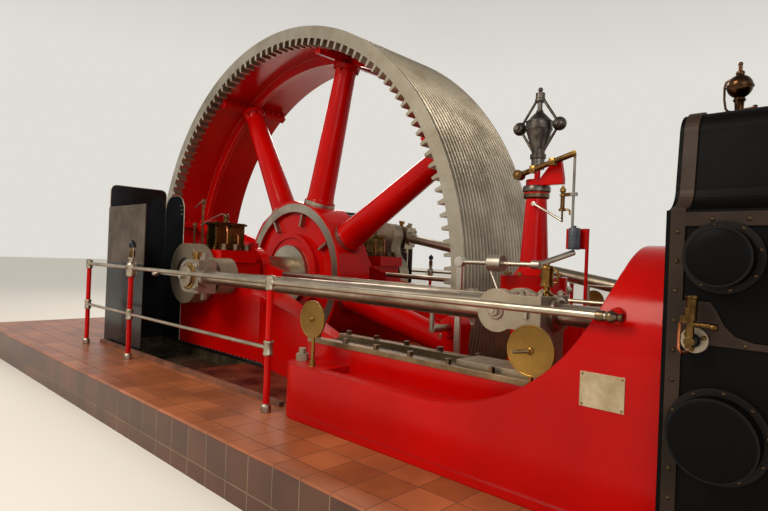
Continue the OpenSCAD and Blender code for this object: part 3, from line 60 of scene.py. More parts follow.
# %% [markdown]
# ## Two sides from one description
# The engine is two single-crank engines, one on each side of the flywheel. Every small piece
# is described once, in the far engine's frame: x along the engine, y out from the wheel and h
# above the tiled top. A matrix then puts it on the near side (mirrored) or the far side. This is
# shorter than modelling twice, and both sides always agree. The shaft's height, the rod's plane
# and half of each casing's width are needed again and again, so they get their names here.

# %% The level of the tiled top and the two sides
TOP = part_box("end_foundation")[1].z
SHAFT_H = 0.862
ROD_Y = 1.89
CASING_HALF = {"near": 0.56, "far": 0.68}
PLACES = {
    "near": Matrix.Translation((0, 0, TOP)) @ Matrix.Diagonal((1, -1, 1, 1)),
    "far": Matrix.Translation((0, 0, TOP)),
}
UP = (0, 0, 1)
OUT = (0, 1, 0)
ALONG = (1, 0, 0)
print("tiled top at", round(TOP, 3))

# %% [markdown]
# ## Colours as written
# A colour picked from a picture is an sRGB hex value, but a shader socket wants linear light.
# One function does that sum for the whole file, so every colour here can be read as a swatch.

# %% From hex to linear light
def linear(hex_colour):
    channels = [int(hex_colour[i:i + 2], 16) / 255 for i in (1, 3, 5)]
    bent = [c / 12.92 if c <= 0.04045 else ((c + 0.055) / 1.055) ** 2.4 for c in channels]
    return (*bent, 1.0)


print("enamel red in linear light", [round(c, 3) for c in linear("#c8140c")])

# %% [markdown]
# ## One helper for every node
# A shader is a small graph. The same three things happen for each node in it: it is added, some
# of its settings are changed, and some of its inputs are linked. Inputs can be named or counted,
# because a Math node calls all of its inputs "Value".

# %% Add a node with its settings and links
def add_node(tree, kind, settings=None, links=None):
    node = tree.nodes.new(kind)
    for key, value in (settings or {}).items():
        if isinstance(key, str) and hasattr(node, key):
            setattr(node, key, value)
        else:
            node.inputs[key].default_value = value
    for key, socket in (links or {}).items():
        tree.links.new(socket, node.inputs[key])
    return node


print("helper ready: add_node")

# %% [markdown]
# ## Where one finish ends and the next begins
# Many castings here are half painted and half bare: the wheel's tread is bare and its inside is
# red. Cutting the mesh isn't allowed, so a zone decides by place on the piece. A zone is a short
# list of tests, such as "further from the shaft than 0.817 m", and every test must hold. Six
# measures are enough: the three coordinates, the distance to either side, and the radius.

# %% Zones by place on the piece
TESTS = {">": "GREATER_THAN", "<": "LESS_THAN"}


def measures(tree, coords):
    """Sockets for x, y, z, the distances |x| and |y|, and the radius from the shaft's axis."""
    x, y, z = add_node(tree, "ShaderNodeSeparateXYZ", {}, {0: coords}).outputs
    level = add_node(tree, "ShaderNodeMath", {"operation": "SUBTRACT", 1: TOP + SHAFT_H}, {0: z}).outputs[0]
    flat = add_node(tree, "ShaderNodeCombineXYZ", {}, {0: x, 2: level}).outputs[0]
    radius = add_node(tree, "ShaderNodeVectorMath", {"operation": "LENGTH"}, {0: flat}).outputs["Value"]
    half = add_node(tree, "ShaderNodeMath", {"operation": "ABSOLUTE"}, {0: x}).outputs[0]
    side = add_node(tree, "ShaderNodeMath", {"operation": "ABSOLUTE"}, {0: y}).outputs[0]
    return {"x": x, "y": y, "z": z, "half": half, "side": side, "radius": radius}


def in_zones(tree, coords, zones):
    """One where all tests of at least one zone hold, otherwise zero."""
    sockets = measures(tree, coords)
    total = None
    for zone in zones:
        inside = None
        for measure, sign, limit in zone:
            test = add_node(tree, "ShaderNodeMath", {"operation": TESTS[sign], 1: limit},
                            {0: sockets[measure]}).outputs[0]
            inside = test if inside is None else add_node(
                tree, "ShaderNodeMath", {"operation": "MULTIPLY"}, {0: inside, 1: test}).outputs[0]
        total = inside if total is None else add_node(
            tree, "ShaderNodeMath", {"operation": "MAXIMUM"}, {0: total, 1: inside}).outputs[0]
    return total


print("zones can test", ", ".join(["x", "y", "z", "half", "side", "radius"]))

# %% [markdown]
# ## What a worn surface is made of
# Paint, oil and bare metal never have one flat colour. Each finish here is two close colours in
# soft patches, a roughness that wanders with them, a slow swell and a fine grain that tip the
# light, and a third colour along the corners where hands, rags and shoes wear it. All sizes are
# given in real millimetres. The Bevel node rounds the light on the sharp edges of the CAD mesh,
# and how far it tips the normal also tells where the corners are.

# %% A worn finish from real sizes
MM_PER_M = 1000
PATCH_SPREAD = (0.36, 0.66)
CORNER_TIP = (0.99, 0.86)
CORNER_WEAR = 0.7
BEVEL_SAMPLES = 4


def coat(tree, coords, kind):
    """Colour and roughness in soft patches."""
    patches = add_node(tree, "ShaderNodeTexNoise",
                       {"Scale": MM_PER_M / kind["patch_mm"], "Detail": 5.0, "Roughness": 0.62},
                       {"Vector": coords}).outputs["Fac"]
    spread = add_node(tree, "ShaderNodeMapRange", {"From Min": PATCH_SPREAD[0], "From Max": PATCH_SPREAD[1]},
                      {"Value": patches}).outputs[0]
    colour = add_node(tree, "ShaderNodeMix",
                      {"data_type": "RGBA", 6: linear(kind["light"]), 7: linear(kind["dark"])},
                      {0: spread}).outputs[2]
    rough = add_node(tree, "ShaderNodeMapRange",
                     {"To Min": kind["rough"][0], "To Max": kind["rough"][1]}, {"Value": spread}).outputs[0]
    return colour, rough


def relief(tree, coords, kind, rounded):
    """The rounded normal, tipped by the slow swell and then by the fine grain."""
    swell = add_node(tree, "ShaderNodeTexNoise", {"Scale": MM_PER_M / kind["swell_mm"][0], "Detail": 2.0},
                     {"Vector": coords}).outputs["Fac"]
    slow = add_node(tree, "ShaderNodeBump", {"Distance": kind["swell_mm"][1] / MM_PER_M},
                    {"Height": swell, "Normal": rounded}).outputs[0]
    stretched = add_node(tree, "ShaderNodeVectorMath",
                         {"operation": "MULTIPLY", 1: kind.get("stretch", (1, 1, 1))},
                         {0: coords}).outputs[0]
    grain = add_node(tree, "ShaderNodeTexNoise", {"Scale": MM_PER_M / kind["grain_mm"][0], "Detail": 3.0},
                     {"Vector": stretched}).outputs["Fac"]
    return add_node(tree, "ShaderNodeBump", {"Distance": kind["grain_mm"][1] / MM_PER_M},
                    {"Height": grain, "Normal": slow}).outputs[0]


def finish(name, kind, other=None, zones=()):
    """A material of one worn finish, or with another one inside the zones."""
    material = bpy.data.materials.new(name)
    material.use_nodes = True
    tree = material.node_tree
    tree.nodes.clear()
    coords = add_node(tree, "ShaderNodeTexCoord").outputs["Object"]
    shader = add_node(tree, "ShaderNodeBsdfPrincipled",
                      {"Metallic": kind["metal"], "Specular IOR Level": kind.get("shine", 0.5)})
    colour, rough = coat(tree, coords, kind)
    if other:
        inside = in_zones(tree, coords, zones)
        colour_2, rough_2 = coat(tree, coords, other)
        colour = add_node(tree, "ShaderNodeMix", {"data_type": "RGBA"},
                          {0: inside, 6: colour, 7: colour_2}).outputs[2]
        rough = add_node(tree, "ShaderNodeMix", {}, {0: inside, 2: rough, 3: rough_2}).outputs[0]
        metal = add_node(tree, "ShaderNodeMix", {2: kind["metal"], 3: other["metal"]},
                         {0: inside}).outputs[0]
        tree.links.new(metal, shader.inputs["Metallic"])
    rounded = add_node(tree, "ShaderNodeBevel",
                       {"samples": BEVEL_SAMPLES, "Radius": kind["edge_mm"] / MM_PER_M}).outputs[0]
    facing = add_node(tree, "ShaderNodeNewGeometry").outputs["Normal"]
    tipped = add_node(tree, "ShaderNodeVectorMath", {"operation": "DOT_PRODUCT"},
                      {0: rounded, 1: facing}).outputs["Value"]
    corner = add_node(tree, "ShaderNodeMapRange",
                      {"From Min": CORNER_TIP[0], "From Max": CORNER_TIP[1], "To Max": CORNER_WEAR},
                      {"Value": tipped}).outputs[0]
    colour = add_node(tree, "ShaderNodeMix", {"data_type": "RGBA", 7: linear(kind["edge"])},
                      {0: corner, 6: colour}).outputs[2]
    normal = relief(tree, coords, kind, rounded)
    for socket, source in (("Base Color", colour), ("Roughness", rough), ("Normal", normal)):
        tree.links.new(source, shader.inputs[socket])
    add_node(tree, "ShaderNodeOutputMaterial", {}, {"Surface": shader.outputs[0]})
    return material


wear_starts = math.degrees(math.acos(CORNER_TIP[0]))
print("corners wear where the normal tips by more than", round(wear_starts), "degrees")

# %% [markdown]
# ## The red: machine enamel on cast iron
# The castings are filled, rubbed down and brushed with several coats of enamel. That gives a
# deep, even red with a wet gloss, slight brush marks and long soft dents left from the filler.
# Its two reds stay close together, and it darkens a little along the corners.

# %% Red enamel
RED = dict(light="#b60603", dark="#9e0402", edge="#740301", rough=(0.13, 0.23), metal=0.0, shine=0.13,
           patch_mm=900, swell_mm=(130, 1.6), grain_mm=(10, 0.2), edge_mm=12)
enamel_red = finish("enamel_red", RED)
print("made", enamel_red.name)

# %% [markdown]
# ## Bare steel: turned, rubbed with oil
# Rods, cranks and rails are turned or planed steel kept bright with oily rags. The film of oil
# warms the grey to straw, and blurs the reflections a little. Metal keeps the default IOR, and its
# look comes from the colour and the roughness. The relatives are planed cast steel, which is duller,
# blackened nuts, the slide's face under its film of oil, the stained sheet of the crank's tray, and
# the fired-clay kerb beside the tray. The grain of turned rods is stretched along them.

# %% Oiled bright steel and its darker relatives
STEEL = dict(light="#b9ad9a", dark="#8f8371", edge="#d2c8b8", rough=(0.28, 0.44), metal=1.0, patch_mm=260,
             swell_mm=(90, 0.08), grain_mm=(7, 0.05), stretch=(0.06, 1, 1), edge_mm=4)
SATIN = dict(light="#a3957f", dark="#7f725e", edge="#c2b59f", rough=(0.38, 0.55), metal=0.6, patch_mm=340,
             swell_mm=(120, 0.1), grain_mm=(5, 0.06), edge_mm=4)
NUT = dict(light="#75644d", dark="#43372a", edge="#8d7b62", rough=(0.3, 0.45), metal=1.0, patch_mm=60,
           swell_mm=(40, 0.05), grain_mm=(4, 0.06), edge_mm=2)
OILY = dict(light="#2e2620", dark="#0e0b09", edge="#463b31", rough=(0.12, 0.3), metal=0.6, patch_mm=420,
            swell_mm=(160, 0.5), grain_mm=(9, 0.1), edge_mm=3)
TRAY = dict(light="#62543f", dark="#1f1813", edge="#6e5f4a", rough=(0.2, 0.42), metal=0.5, patch_mm=300,
            swell_mm=(140, 0.6), grain_mm=(9, 0.12), edge_mm=2)
KERB = dict(light="#7a4a33", dark="#54301f", edge="#8d5f46", rough=(0.5, 0.62), metal=0.0, patch_mm=200,
            swell_mm=(80, 0.3), grain_mm=(8, 0.15), edge_mm=3)
KERB_Y = 2.2
steel_oiled = finish("steel_oiled", STEEL)
steel_satin = finish("steel_satin", SATIN)
steel_clean = finish("steel_clean", dict(STEEL, light="#d0c7b8", dark="#aaa091"))
steel_nut = finish("steel_blackened", NUT)
tray_steel = finish("tray_oily_steel", TRAY)
tray_two = finish("tray_and_kerb", TRAY, KERB, [[("side", ">", KERB_Y)]])
steels = (steel_oiled, steel_satin, steel_clean, steel_nut, tray_steel, tray_two)
print("made", ", ".join(m.name for m in steels))

# %% [markdown]
# ## Brass, copper and bronze
# Brass boxes and cups are polished now and then, so a brown tarnish stays in patches between
# bright places, and the boxes and cocks that nobody polishes are browned all over. The oil discs
# are even and dull. Copper pipes are pinker. The lubricator on the casing is old bronze, nearly
# brown. The governor's lever is bronze too, but the rod that hangs from its end is steel.

# %% The yellow and brown metals
BRASS = dict(light="#a67f42", dark="#684922", edge="#c49d5e", rough=(0.2, 0.38), metal=1.0, patch_mm=110,
             swell_mm=(60, 0.1), grain_mm=(4, 0.05), edge_mm=3)
BROWNED = dict(BRASS, light="#74582f", dark="#3b2a17", edge="#98763f")
COPPER = dict(light="#c78154", dark="#824526", edge="#dba077", rough=(0.22, 0.4), metal=1.0, patch_mm=90,
              swell_mm=(60, 0.1), grain_mm=(5, 0.05), edge_mm=2)
BRONZE = dict(light="#5a3f29", dark="#21160e", edge="#7a5a3c", rough=(0.18, 0.34), metal=1.0, patch_mm=80,
              swell_mm=(50, 0.15), grain_mm=(6, 0.08), edge_mm=2)
LEVER_END_X = 4.225
LEVER_H = TOP + 1.86
brass = finish("brass_tarnished", BRASS)
brass_dark = finish("brass_browned", BROWNED)
brass_disc = finish("brass_disc", dict(BRASS, light="#97733a", dark="#7b5b2c", patch_mm=300))
copper = finish("copper_pipe", COPPER)
bronze = finish("bronze_aged", BRONZE)
bronze_bar = finish("bronze_bar_and_steel_rod", dict(BRONZE, light="#75532f", dark="#432e1b"),
                    dict(STEEL, light="#8d8880", dark="#5f5a53"),
                    [[("x", ">", LEVER_END_X), ("z", "<", LEVER_H)]])
print("made", ", ".join(m.name for m in (brass, brass_dark, brass_disc, copper, bronze, bronze_bar)))

# %% [markdown]
# ## Black sheet and brown strips
# The cylinders are lagged and wrapped in sheet with a dull black paint, which shows the dents of
# the sheet. The strips that hold it are painted dark brown, and the rings round the valve covers are
# darker still. The splash guards are stove-enamelled and glossier, and the one along the walkway
# has a brown-grey upper half.

# %% Painted sheet steel
CASING = dict(light="#080706", dark="#030303", edge="#100f0d", rough=(0.42, 0.56), metal=0.0, shine=0.07,
              patch_mm=700, swell_mm=(150, 2.0), grain_mm=(20, 0.1), edge_mm=5)
BAND = dict(light="#35271d", dark="#211812", edge="#4a3a2c", rough=(0.4, 0.55), metal=0.0, shine=0.16,
            patch_mm=300, swell_mm=(90, 0.4), grain_mm=(14, 0.1), edge_mm=3)
RING = dict(BAND, light="#17110d", dark="#0b0806", edge="#281f17")
GUARD = dict(light="#101114", dark="#07080a", edge="#23252a", rough=(0.16, 0.28), metal=0.0, shine=0.3,
             patch_mm=500, swell_mm=(260, 2.4), grain_mm=(24, 0.06), edge_mm=3)
DULL_SHEET = dict(light="#4f4336", dark="#3b3128", edge="#655747", rough=(0.5, 0.65), metal=0.0, shine=0.25,
                  patch_mm=260, swell_mm=(260, 1.6), grain_mm=(16, 0.1), edge_mm=3)
GREY_FROM_H = TOP + 0.95
casing_black = finish("sheet_painted_black", CASING)
band_brown = finish("strip_painted_brown", BAND)
guard_black = finish("sheet_stoved_black", GUARD)
guard_two = finish("sheet_black_and_grey", GUARD, DULL_SHEET, [[("z", ">", GREY_FROM_H)]])
print("made", casing_black.name, band_brown.name, guard_black.name, guard_two.name)

# %% [markdown]
# ## Small finishes
# The blank plate is pale engraver's metal. The governor's head is dark grey iron, the screws of
# the strips have gone dull and brown, and the dashpot beside the governor is painted slate blue.

# %% Plate, governor head, dashpot
SMALL = dict(metal=0.85, patch_mm=80, swell_mm=(60, 0.1), grain_mm=(6, 0.06), edge_mm=2, rough=(0.28, 0.42))
plate_pale = finish("plate_brushed_alloy", dict(SMALL, light="#bfae92", dark="#a3916f", edge="#d6c8ae"))
iron_bronzed = finish("iron_bronzed", dict(SMALL, light="#625b53", dark="#332e29", edge="#7b736a"))
screw_dull = finish("screw_dull", dict(SMALL, light="#55452f", dark="#33281d", edge="#6b583f"))
slate_paint = finish("paint_slate_blue",
                     dict(SMALL, light="#454c55", dark="#30353c", edge="#5c646e", metal=0.0))
print("made", plate_pale.name, iron_bronzed.name, screw_dull.name, slate_paint.name)

# %% [markdown]
# ## Tiles and bricks at their true size
# The top is laid with quarry tiles of 228 mm (nine inches) with 5 mm joints, the upper step is
# faced with upright brown glazed tiles of the same width, and below the floor the foundation is
# ordinary brickwork, 215 by 65 mm with 10 mm joints. The Brick Texture draws all three, so they are
# three rows of one small table, where each size includes its joint. Its coordinates are chosen by
# which way a face looks: a flat face uses x and y, and a wall uses the distance along it and the
# height below the top. Soft stains darken all of them, and the joints lie a little deeper.

# %% Courses of tiles and bricks
COURSES = {
    "quarry": dict(size=(0.233, 0.233), joint=0.005, shift=0.0, colours=("#9b5833", "#854927"),
                   mortar="#543827"),
    "glazed": dict(size=(0.233, 0.226), joint=0.005, shift=0.0, colours=("#55301c", "#432414"),
                   mortar="#8d7a60"),
    "brick": dict(size=(0.225, 0.075), joint=0.010, shift=0.5, colours=("#8a4a34", "#6f3a2a"),
                  mortar="#8f8578"),
}
STEP_DEPTH = 0.34
ROUGHNESS = {"quarry": 0.36, "glazed": 0.34, "brick": 0.75, "joint": 0.8}
STAIN_RANGE = {"From Min": 0.35, "From Max": 0.65, "To Min": 0.72, "To Max": 1.1}
FLAT_NORMAL = 0.4
JOINT_DEPTH = -6.0
GRIT_HEIGHT = 0.0004


def where_it_lies(tree, coords):
    """Coordinates for flat faces and for walls, and masks for both kinds of place."""
    x, y, z = add_node(tree, "ShaderNodeSeparateXYZ", {}, {0: coords}).outputs
    normal = add_node(tree, "ShaderNodeNewGeometry").outputs["True Normal"]
    nx, _, nz = add_node(tree, "ShaderNodeSeparateXYZ", {}, {0: normal}).outputs
    end_face = add_node(tree, "ShaderNodeMath", {"operation": "ABSOLUTE"}, {0: nx}).outputs[0]
    along = add_node(tree, "ShaderNodeMix", {}, {0: end_face, 2: x, 3: y}).outputs[0]
    drop = add_node(tree, "ShaderNodeMath", {"operation": "SUBTRACT", 1: TOP}, {0: z}).outputs[0]
    plan = add_node(tree, "ShaderNodeCombineXYZ", {}, {0: x, 1: y}).outputs[0]
    wall = add_node(tree, "ShaderNodeCombineXYZ", {}, {0: along, 1: drop}).outputs[0]
    deep = add_node(tree, "ShaderNodeMath", {"operation": "LESS_THAN", 1: TOP - STEP_DEPTH},
                    {0: z}).outputs[0]
    flat = add_node(tree, "ShaderNodeMath", {"operation": "GREATER_THAN", 1: FLAT_NORMAL},
                    {0: nz}).outputs[0]
    return {"quarry": plan, "glazed": wall, "brick": wall}, deep, flat


def foundation_material():
    material = bpy.data.materials.new("tiles_and_bricks")
    material.use_nodes = True
    tree = material.node_tree
    tree.nodes.clear()
    coords = add_node(tree, "ShaderNodeTexCoord").outputs["Object"]
    across, deep, flat = where_it_lies(tree, coords)
    colour, joint = {}, {}
    for name, course in COURSES.items():
        light, dark = [linear(c) for c in course["colours"]]
        colour[name], joint[name] = add_node(
            tree, "ShaderNodeTexBrick",
            {"offset": course["shift"], "Scale": 1.0, "Mortar Size": course["joint"] / 2,
             "Mortar Smooth": 0.15, "Color1": light, "Color2": dark, "Mortar": linear(course["mortar"]),
             "Brick Width": course["size"][0], "Row Height": course["size"][1]},
            {"Vector": across[name]}).outputs
    walls = add_node(tree, "ShaderNodeMix", {"data_type": "RGBA"},
                     {0: deep, 6: colour["glazed"], 7: colour["brick"]}).outputs[2]
    wall_joint = add_node(tree, "ShaderNodeMix", {},
                          {0: deep, 2: joint["glazed"], 3: joint["brick"]}).outputs[0]
    tint = add_node(tree, "ShaderNodeMix", {"data_type": "RGBA"},
                    {0: flat, 6: walls, 7: colour["quarry"]}).outputs[2]
    joints = add_node(tree, "ShaderNodeMix", {}, {0: flat, 2: wall_joint, 3: joint["quarry"]}).outputs[0]
    stains = add_node(tree, "ShaderNodeTexNoise", {"Scale": 3.0, "Detail": 6.0},
                      {"Vector": coords}).outputs["Fac"]
    shade = add_node(tree, "ShaderNodeMapRange", STAIN_RANGE, {"Value": stains}).outputs[0]
    worn = add_node(tree, "ShaderNodeVectorMath", {"operation": "SCALE"},
                    {0: tint, "Scale": shade}).outputs[0]
    glaze = add_node(tree, "ShaderNodeMix", {2: ROUGHNESS["glazed"], 3: ROUGHNESS["brick"]},
                     {0: deep}).outputs[0]
    polish = add_node(tree, "ShaderNodeMix", {3: ROUGHNESS["quarry"]}, {0: flat, 2: glaze}).outputs[0]
    rough = add_node(tree, "ShaderNodeMix", {3: ROUGHNESS["joint"]}, {0: joints, 2: polish}).outputs[0]
    grit = add_node(tree, "ShaderNodeTexNoise", {"Scale": 160.0, "Detail": 2.0},
                    {"Vector": coords}).outputs["Fac"]
    height = add_node(tree, "ShaderNodeMath", {"operation": "MULTIPLY_ADD", 1: JOINT_DEPTH},
                      {0: joints, 2: grit}).outputs[0]
    bump = add_node(tree, "ShaderNodeBump", {"Distance": GRIT_HEIGHT}, {"Height": height}).outputs[0]
    shader = add_node(tree, "ShaderNodeBsdfPrincipled", {"Specular IOR Level": 0.4},
                      {"Base Color": worn, "Roughness": rough, "Normal": bump})
    add_node(tree, "ShaderNodeOutputMaterial", {}, {"Surface": shader.outputs[0]})
    return material


tiles = foundation_material()
print("made", tiles.name, "from", ", ".join(COURSES))

# %% [markdown]
# ## Castings that are half bare
# The wheel's tread, its edge and the barring teeth are bare iron and the inside is red. The hub
# has a bare ring and a bare boss. On the beds, the face of the slide is dark with oil. Each of
# these is one CAD node with a mask between two finishes.

# %% The wheel's two finishes
WHEEL_METAL = dict(STEEL, light="#b1a796", dark="#8b8170", edge="#c8bfae", rough=(0.32, 0.48), patch_mm=420,
                   stretch=(1, 1, 1))
TREAD_EDGE = 2.906
HUB_RING = (0.817, 0.928)
HUB_BOSS = 0.379
COTTERS = (0.639, 0.801)
HUB_WEB = 0.1905
COLLAR_END = 1.0
rim_two = finish("rim_iron_and_enamel", WHEEL_METAL, RED, [[("radius", "<", TREAD_EDGE)]])
hub_two = finish("hub_enamel_and_iron", RED, WHEEL_METAL, [
    [("radius", ">", HUB_RING[0]), ("radius", "<", HUB_RING[1])],
    [("radius", "<", HUB_BOSS)],
    [("radius", ">", COTTERS[0]), ("radius", "<", COTTERS[1]), ("side", ">", HUB_WEB)],
])
spoke_two = finish("spoke_enamel_and_iron", RED, WHEEL_METAL, [[("radius", "<", COLLAR_END)]])
ring_iron = finish("ring_bare_iron", WHEEL_METAL)
print("made", rim_two.name, hub_two.name, spoke_two.name, ring_iron.name)

# %% [markdown]
# ## Fixed castings with bare places
# The slide's running face lies between two heights and close to the rod's plane. The bearing caps
# carry bare nuts, the handrail posts have bare sockets where the rails pass, the governor's stand
# has an oily top face, and the dish of each valve cover stands further out than its ring. The cock's
# round flange is steel, and all that stands further out is brass. A face that lies exactly at a
# height is caught by two tests, a hair above it and a hair below.

# %% Beds, caps, posts, keepers and covers
HAIR = 0.0005
SLIDE_H = TOP + 0.483
SLIDE_HALF = 0.19
SLIDE_X = 2.68
CAP_H = TOP + 1.140
SOCKET_H = TOP + 0.88
FOOT_H = TOP + 0.041
STUD_H = TOP + 0.5175
STAND_H = TOP + 1.037
RING_T = 0.0243
FLANGE_FACE = 0.0205
FAR_FACE = ROD_Y + CASING_HALF["far"]
NEAR_FACE = -(ROD_Y + CASING_HALF["near"])
bed_two = finish("bed_enamel_and_oiled_slide", RED, OILY, [
    [("z", ">", SLIDE_H - HAIR), ("z", "<", SLIDE_H + HAIR), ("side", ">", ROD_Y - SLIDE_HALF),
     ("side", "<", ROD_Y + SLIDE_HALF), ("x", ">", SLIDE_X)],
])
cap_two = finish("cap_enamel_and_nuts", RED, NUT, [[("z", ">", CAP_H + HAIR)]])
post_two = finish("post_enamel_and_sockets", RED, STEEL, [[("z", ">", SOCKET_H)], [("z", "<", FOOT_H)]])
keeper_two = finish("keeper_steel_and_nuts", dict(STEEL, light="#9b8465", dark="#66543c"),
                    dict(BRONZE, light="#7a5c3c", dark="#4b3622"), [[("z", ">", STUD_H)]])
stand_two = finish("governor_enamel_and_oily_top", RED, OILY,
                   [[("z", ">", STAND_H - HAIR), ("z", "<", STAND_H + HAIR)]])
cover_two = finish("cover_ring_and_dish", RING, CASING,
                   [[("y", ">", FAR_FACE + RING_T)], [("y", "<", NEAR_FACE - RING_T)]])
cock_two = finish("cock_brass_and_steel_flange", BROWNED, SATIN, [
    [("y", ">", 0.0), ("y", "<", FAR_FACE + FLANGE_FACE)],
    [("y", "<", 0.0), ("y", ">", NEAR_FACE - FLANGE_FACE)],
])
castings = (bed_two, cap_two, post_two, keeper_two, stand_two, cover_two, cock_two)
print("made", ", ".join(m.name for m in castings))

# %% [markdown]
# ## Handing the finishes out
# A CAD node keeps its mesh and only gets a better material in its slot. The table below reads like
# a painter's list: finish, then the nodes that it goes on.

# %% Paint the CAD nodes
PAINT_LIST = {
    tiles: ["near_foundation", "far_foundation", "end_foundation", "race_floor", "race_wall"],
    bed_two: ["near_bed", "far_bed"],
    cap_two: ["bearing_caps"],
    enamel_red: ["eccentrics", "rocker_stands", "rim_joints"],
    stand_two: ["governor_stand"],
    post_two: ["handrail_posts"],
    rim_two: ["wheel_rim"],
    ring_iron: ["barring_ring"],
    hub_two: ["wheel_hub"],
    spoke_two: ["wheel_spokes"],
    steel_oiled: ["crankshaft", "near_connecting_rod", "far_connecting_rod", "near_piston_rod",
                  "far_piston_rod", "hand_rails", "valve_rods"],
    steel_clean: ["weight_lever", "pin_oilers"],
    steel_satin: ["near_crank", "far_crank", "near_crosshead", "far_crosshead", "holding_down_bolts"],
    keeper_two: ["slide_keepers"],
    cock_two: ["indicator_cocks"],
    brass_dark: ["oil_boxes", "post_oilers"],
    brass_disc: ["oil_discs"],
    brass: ["rod_glands", "drain_valves", "near_strap_cup", "far_strap_cup", "near_oil_cup", "far_oil_cup"],
    bronze: ["ball_lubricators"],
    bronze_bar: ["governor_levers"],
    casing_black: ["near_cylinder", "far_cylinder"],
    band_brown: ["casing_bands"],
    cover_two: ["valve_covers"],
    guard_black: ["end_guards", "inner_guards"],
    guard_two: ["front_guards"],
    iron_bronzed: ["governor_head"],
    plate_pale: ["blank_plate"],
    tray_two: ["crank_trays"],
}
painted = set()
for material, names in PAINT_LIST.items():
    for name in names:
        slots = nodes[name].data.materials
        slots.clear()
        slots.append(material)
        painted.add(name)
print(len(painted), "nodes painted, left out:", sorted(set(nodes) - painted))

# %% [markdown]
# ## From a bmesh to a piece
# Every added piece is drawn in the side's own frame, put on its side by the matrix above, and
# made to ride on the body that carries it. Doubles are merged and faces turned outwards, because
# a mirror turns a shape inside out. Sharp corners over 35 degrees stay sharp.

# %% Finish a piece and hang it on its body
SHARP_ANGLE = math.radians(35)
SAME_POINT = 1e-6
made = []


def piece(name, bm, material, body, place):
    bmesh.ops.remove_doubles(bm, verts=bm.verts, dist=SAME_POINT)
    bmesh.ops.transform(bm, matrix=place, verts=bm.verts)
    bmesh.ops.recalc_face_normals(bm, faces=bm.faces)
    mesh = bpy.data.meshes.new(name)
    bm.to_mesh(mesh)
    bm.free()
    mesh.shade_smooth()
    mesh.set_sharp_from_angle(angle=SHARP_ANGLE)
    mesh.materials.append(material)
    item = bpy.data.objects.new(name, mesh)
    bpy.context.scene.collection.objects.link(item)
    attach(item, body)
    made.append(item)


def on_both_sides(name, build, material):
    """build(bm, side) draws the piece of one side, and all of it stands on the fixed engine."""
    for side, place in PLACES.items():
        bm = bmesh.new()
        build(bm, side)
        piece(f"{side}_{name}", bm, material, "engine", place)
    print("made", name, "on both sides")


print("sharp corners start at", round(math.degrees(SHARP_ANGLE)), "degrees")

# %% [markdown]
# ## Shapes a fitter knows
# Almost everything small on an engine is turned, bent from bar, or cut from hexagon. Four short
# helpers cover them: a profile spun round an axis, a bar swept along points, a box with eased
# edges, and a nut with its stud. Each one uses a bmesh operator, not a list of faces.

# %% Seat, turned shape, pipe, block and nut
def seat(at, out=UP):
    """A matrix at a point whose Z looks along out."""
    return Matrix.Translation(at) @ Vector(out).to_track_quat("Z", "Y").to_matrix().to_4x4()


def turned(bm, profile, at, out=UP, steps=28):
    """A profile of (radius, height) in metres, spun round the axis that looks along out."""
    local = seat(at, out)
    verts = [bm.verts.new(local @ Vector((radius, 0, height))) for radius, height in profile]
    edges = [bm.edges.new(pair) for pair in zip(verts, verts[1:])]
    bmesh.ops.spin(bm, geom=verts + edges, cent=at, axis=Vector(out).normalized(), angle=math.tau,
                   steps=steps, use_merge=True)


def pipe(bm, points, radius, steps=12):
    """Rings along the points, each turned as little as possible from the last, and bridged."""
    points = [Vector(p) for p in points]
    heading = (points[1] - points[0]).normalized()
    turn = heading.to_track_quat("Z", "Y")
    before = None
    for i, point in enumerate(points):
        ahead = (points[min(i + 1, len(points) - 1)] - points[max(i - 1, 0)]).normalized()
        turn = heading.rotation_difference(ahead) @ turn
        heading = ahead
        local = Matrix.Translation(point) @ turn.to_matrix().to_4x4()
        end = i in (0, len(points) - 1)
        ring = bmesh.ops.create_circle(bm, cap_ends=end, segments=steps, radius=radius, matrix=local)["verts"]
        edges = [e for e in {e for v in ring for e in v.link_edges} if all(v in ring for v in e.verts)]
        if before:
            bmesh.ops.bridge_loops(bm, edges=before + edges)
        before = edges


def block(bm, low, high, ease=0.003):
    """A box between two corners, with its edges eased."""
    low, high = Vector(low), Vector(high)
    place = Matrix.Translation((low + high) / 2) @ Matrix.Diagonal((*(high - low), 1))
    verts = bmesh.ops.create_cube(bm, size=1, matrix=place)["verts"]
    edges = list({e for v in verts for e in v.link_edges})
    bmesh.ops.bevel(bm, geom=edges, offset=ease, offset_type="OFFSET", segments=2, profile=0.5,
                    affect="EDGES", material=-1)


def nut(bm, at, out, across, height, stud=0.0):
    """Washer, hexagon with a chamfered top, and the end of the stud."""
    local = seat(at, out)
    wide = across / math.sqrt(3)
    layers = [(16, wide * 1.12, wide * 1.12, 0, height * 0.12),
              (6, wide, wide, height * 0.12, height * 0.85),
              (6, wide, wide * 0.84, height * 0.85, height)]
    if stud:
        layers.append((10, across * 0.3, across * 0.26, height, height + stud))
    for sides, r1, r2, low, high in layers:
        bmesh.ops.create_cone(bm, cap_ends=True, segments=sides, radius1=r1, radius2=r2, depth=high - low,
                              matrix=local @ Matrix.Translation((0, 0, (low + high) / 2)))


def screw(bm, at, out, radius):
    """Round screw head, a low dome of few faces because there are hundreds."""
    place = seat(at, out) @ Matrix.Translation((0, 0, radius * 0.25))
    bmesh.ops.create_cone(bm, cap_ends=True, segments=10, radius1=radius, radius2=radius * 0.55,
                          depth=radius * 0.5, matrix=place)


print("helpers ready: turned, pipe, block, nut, screw")

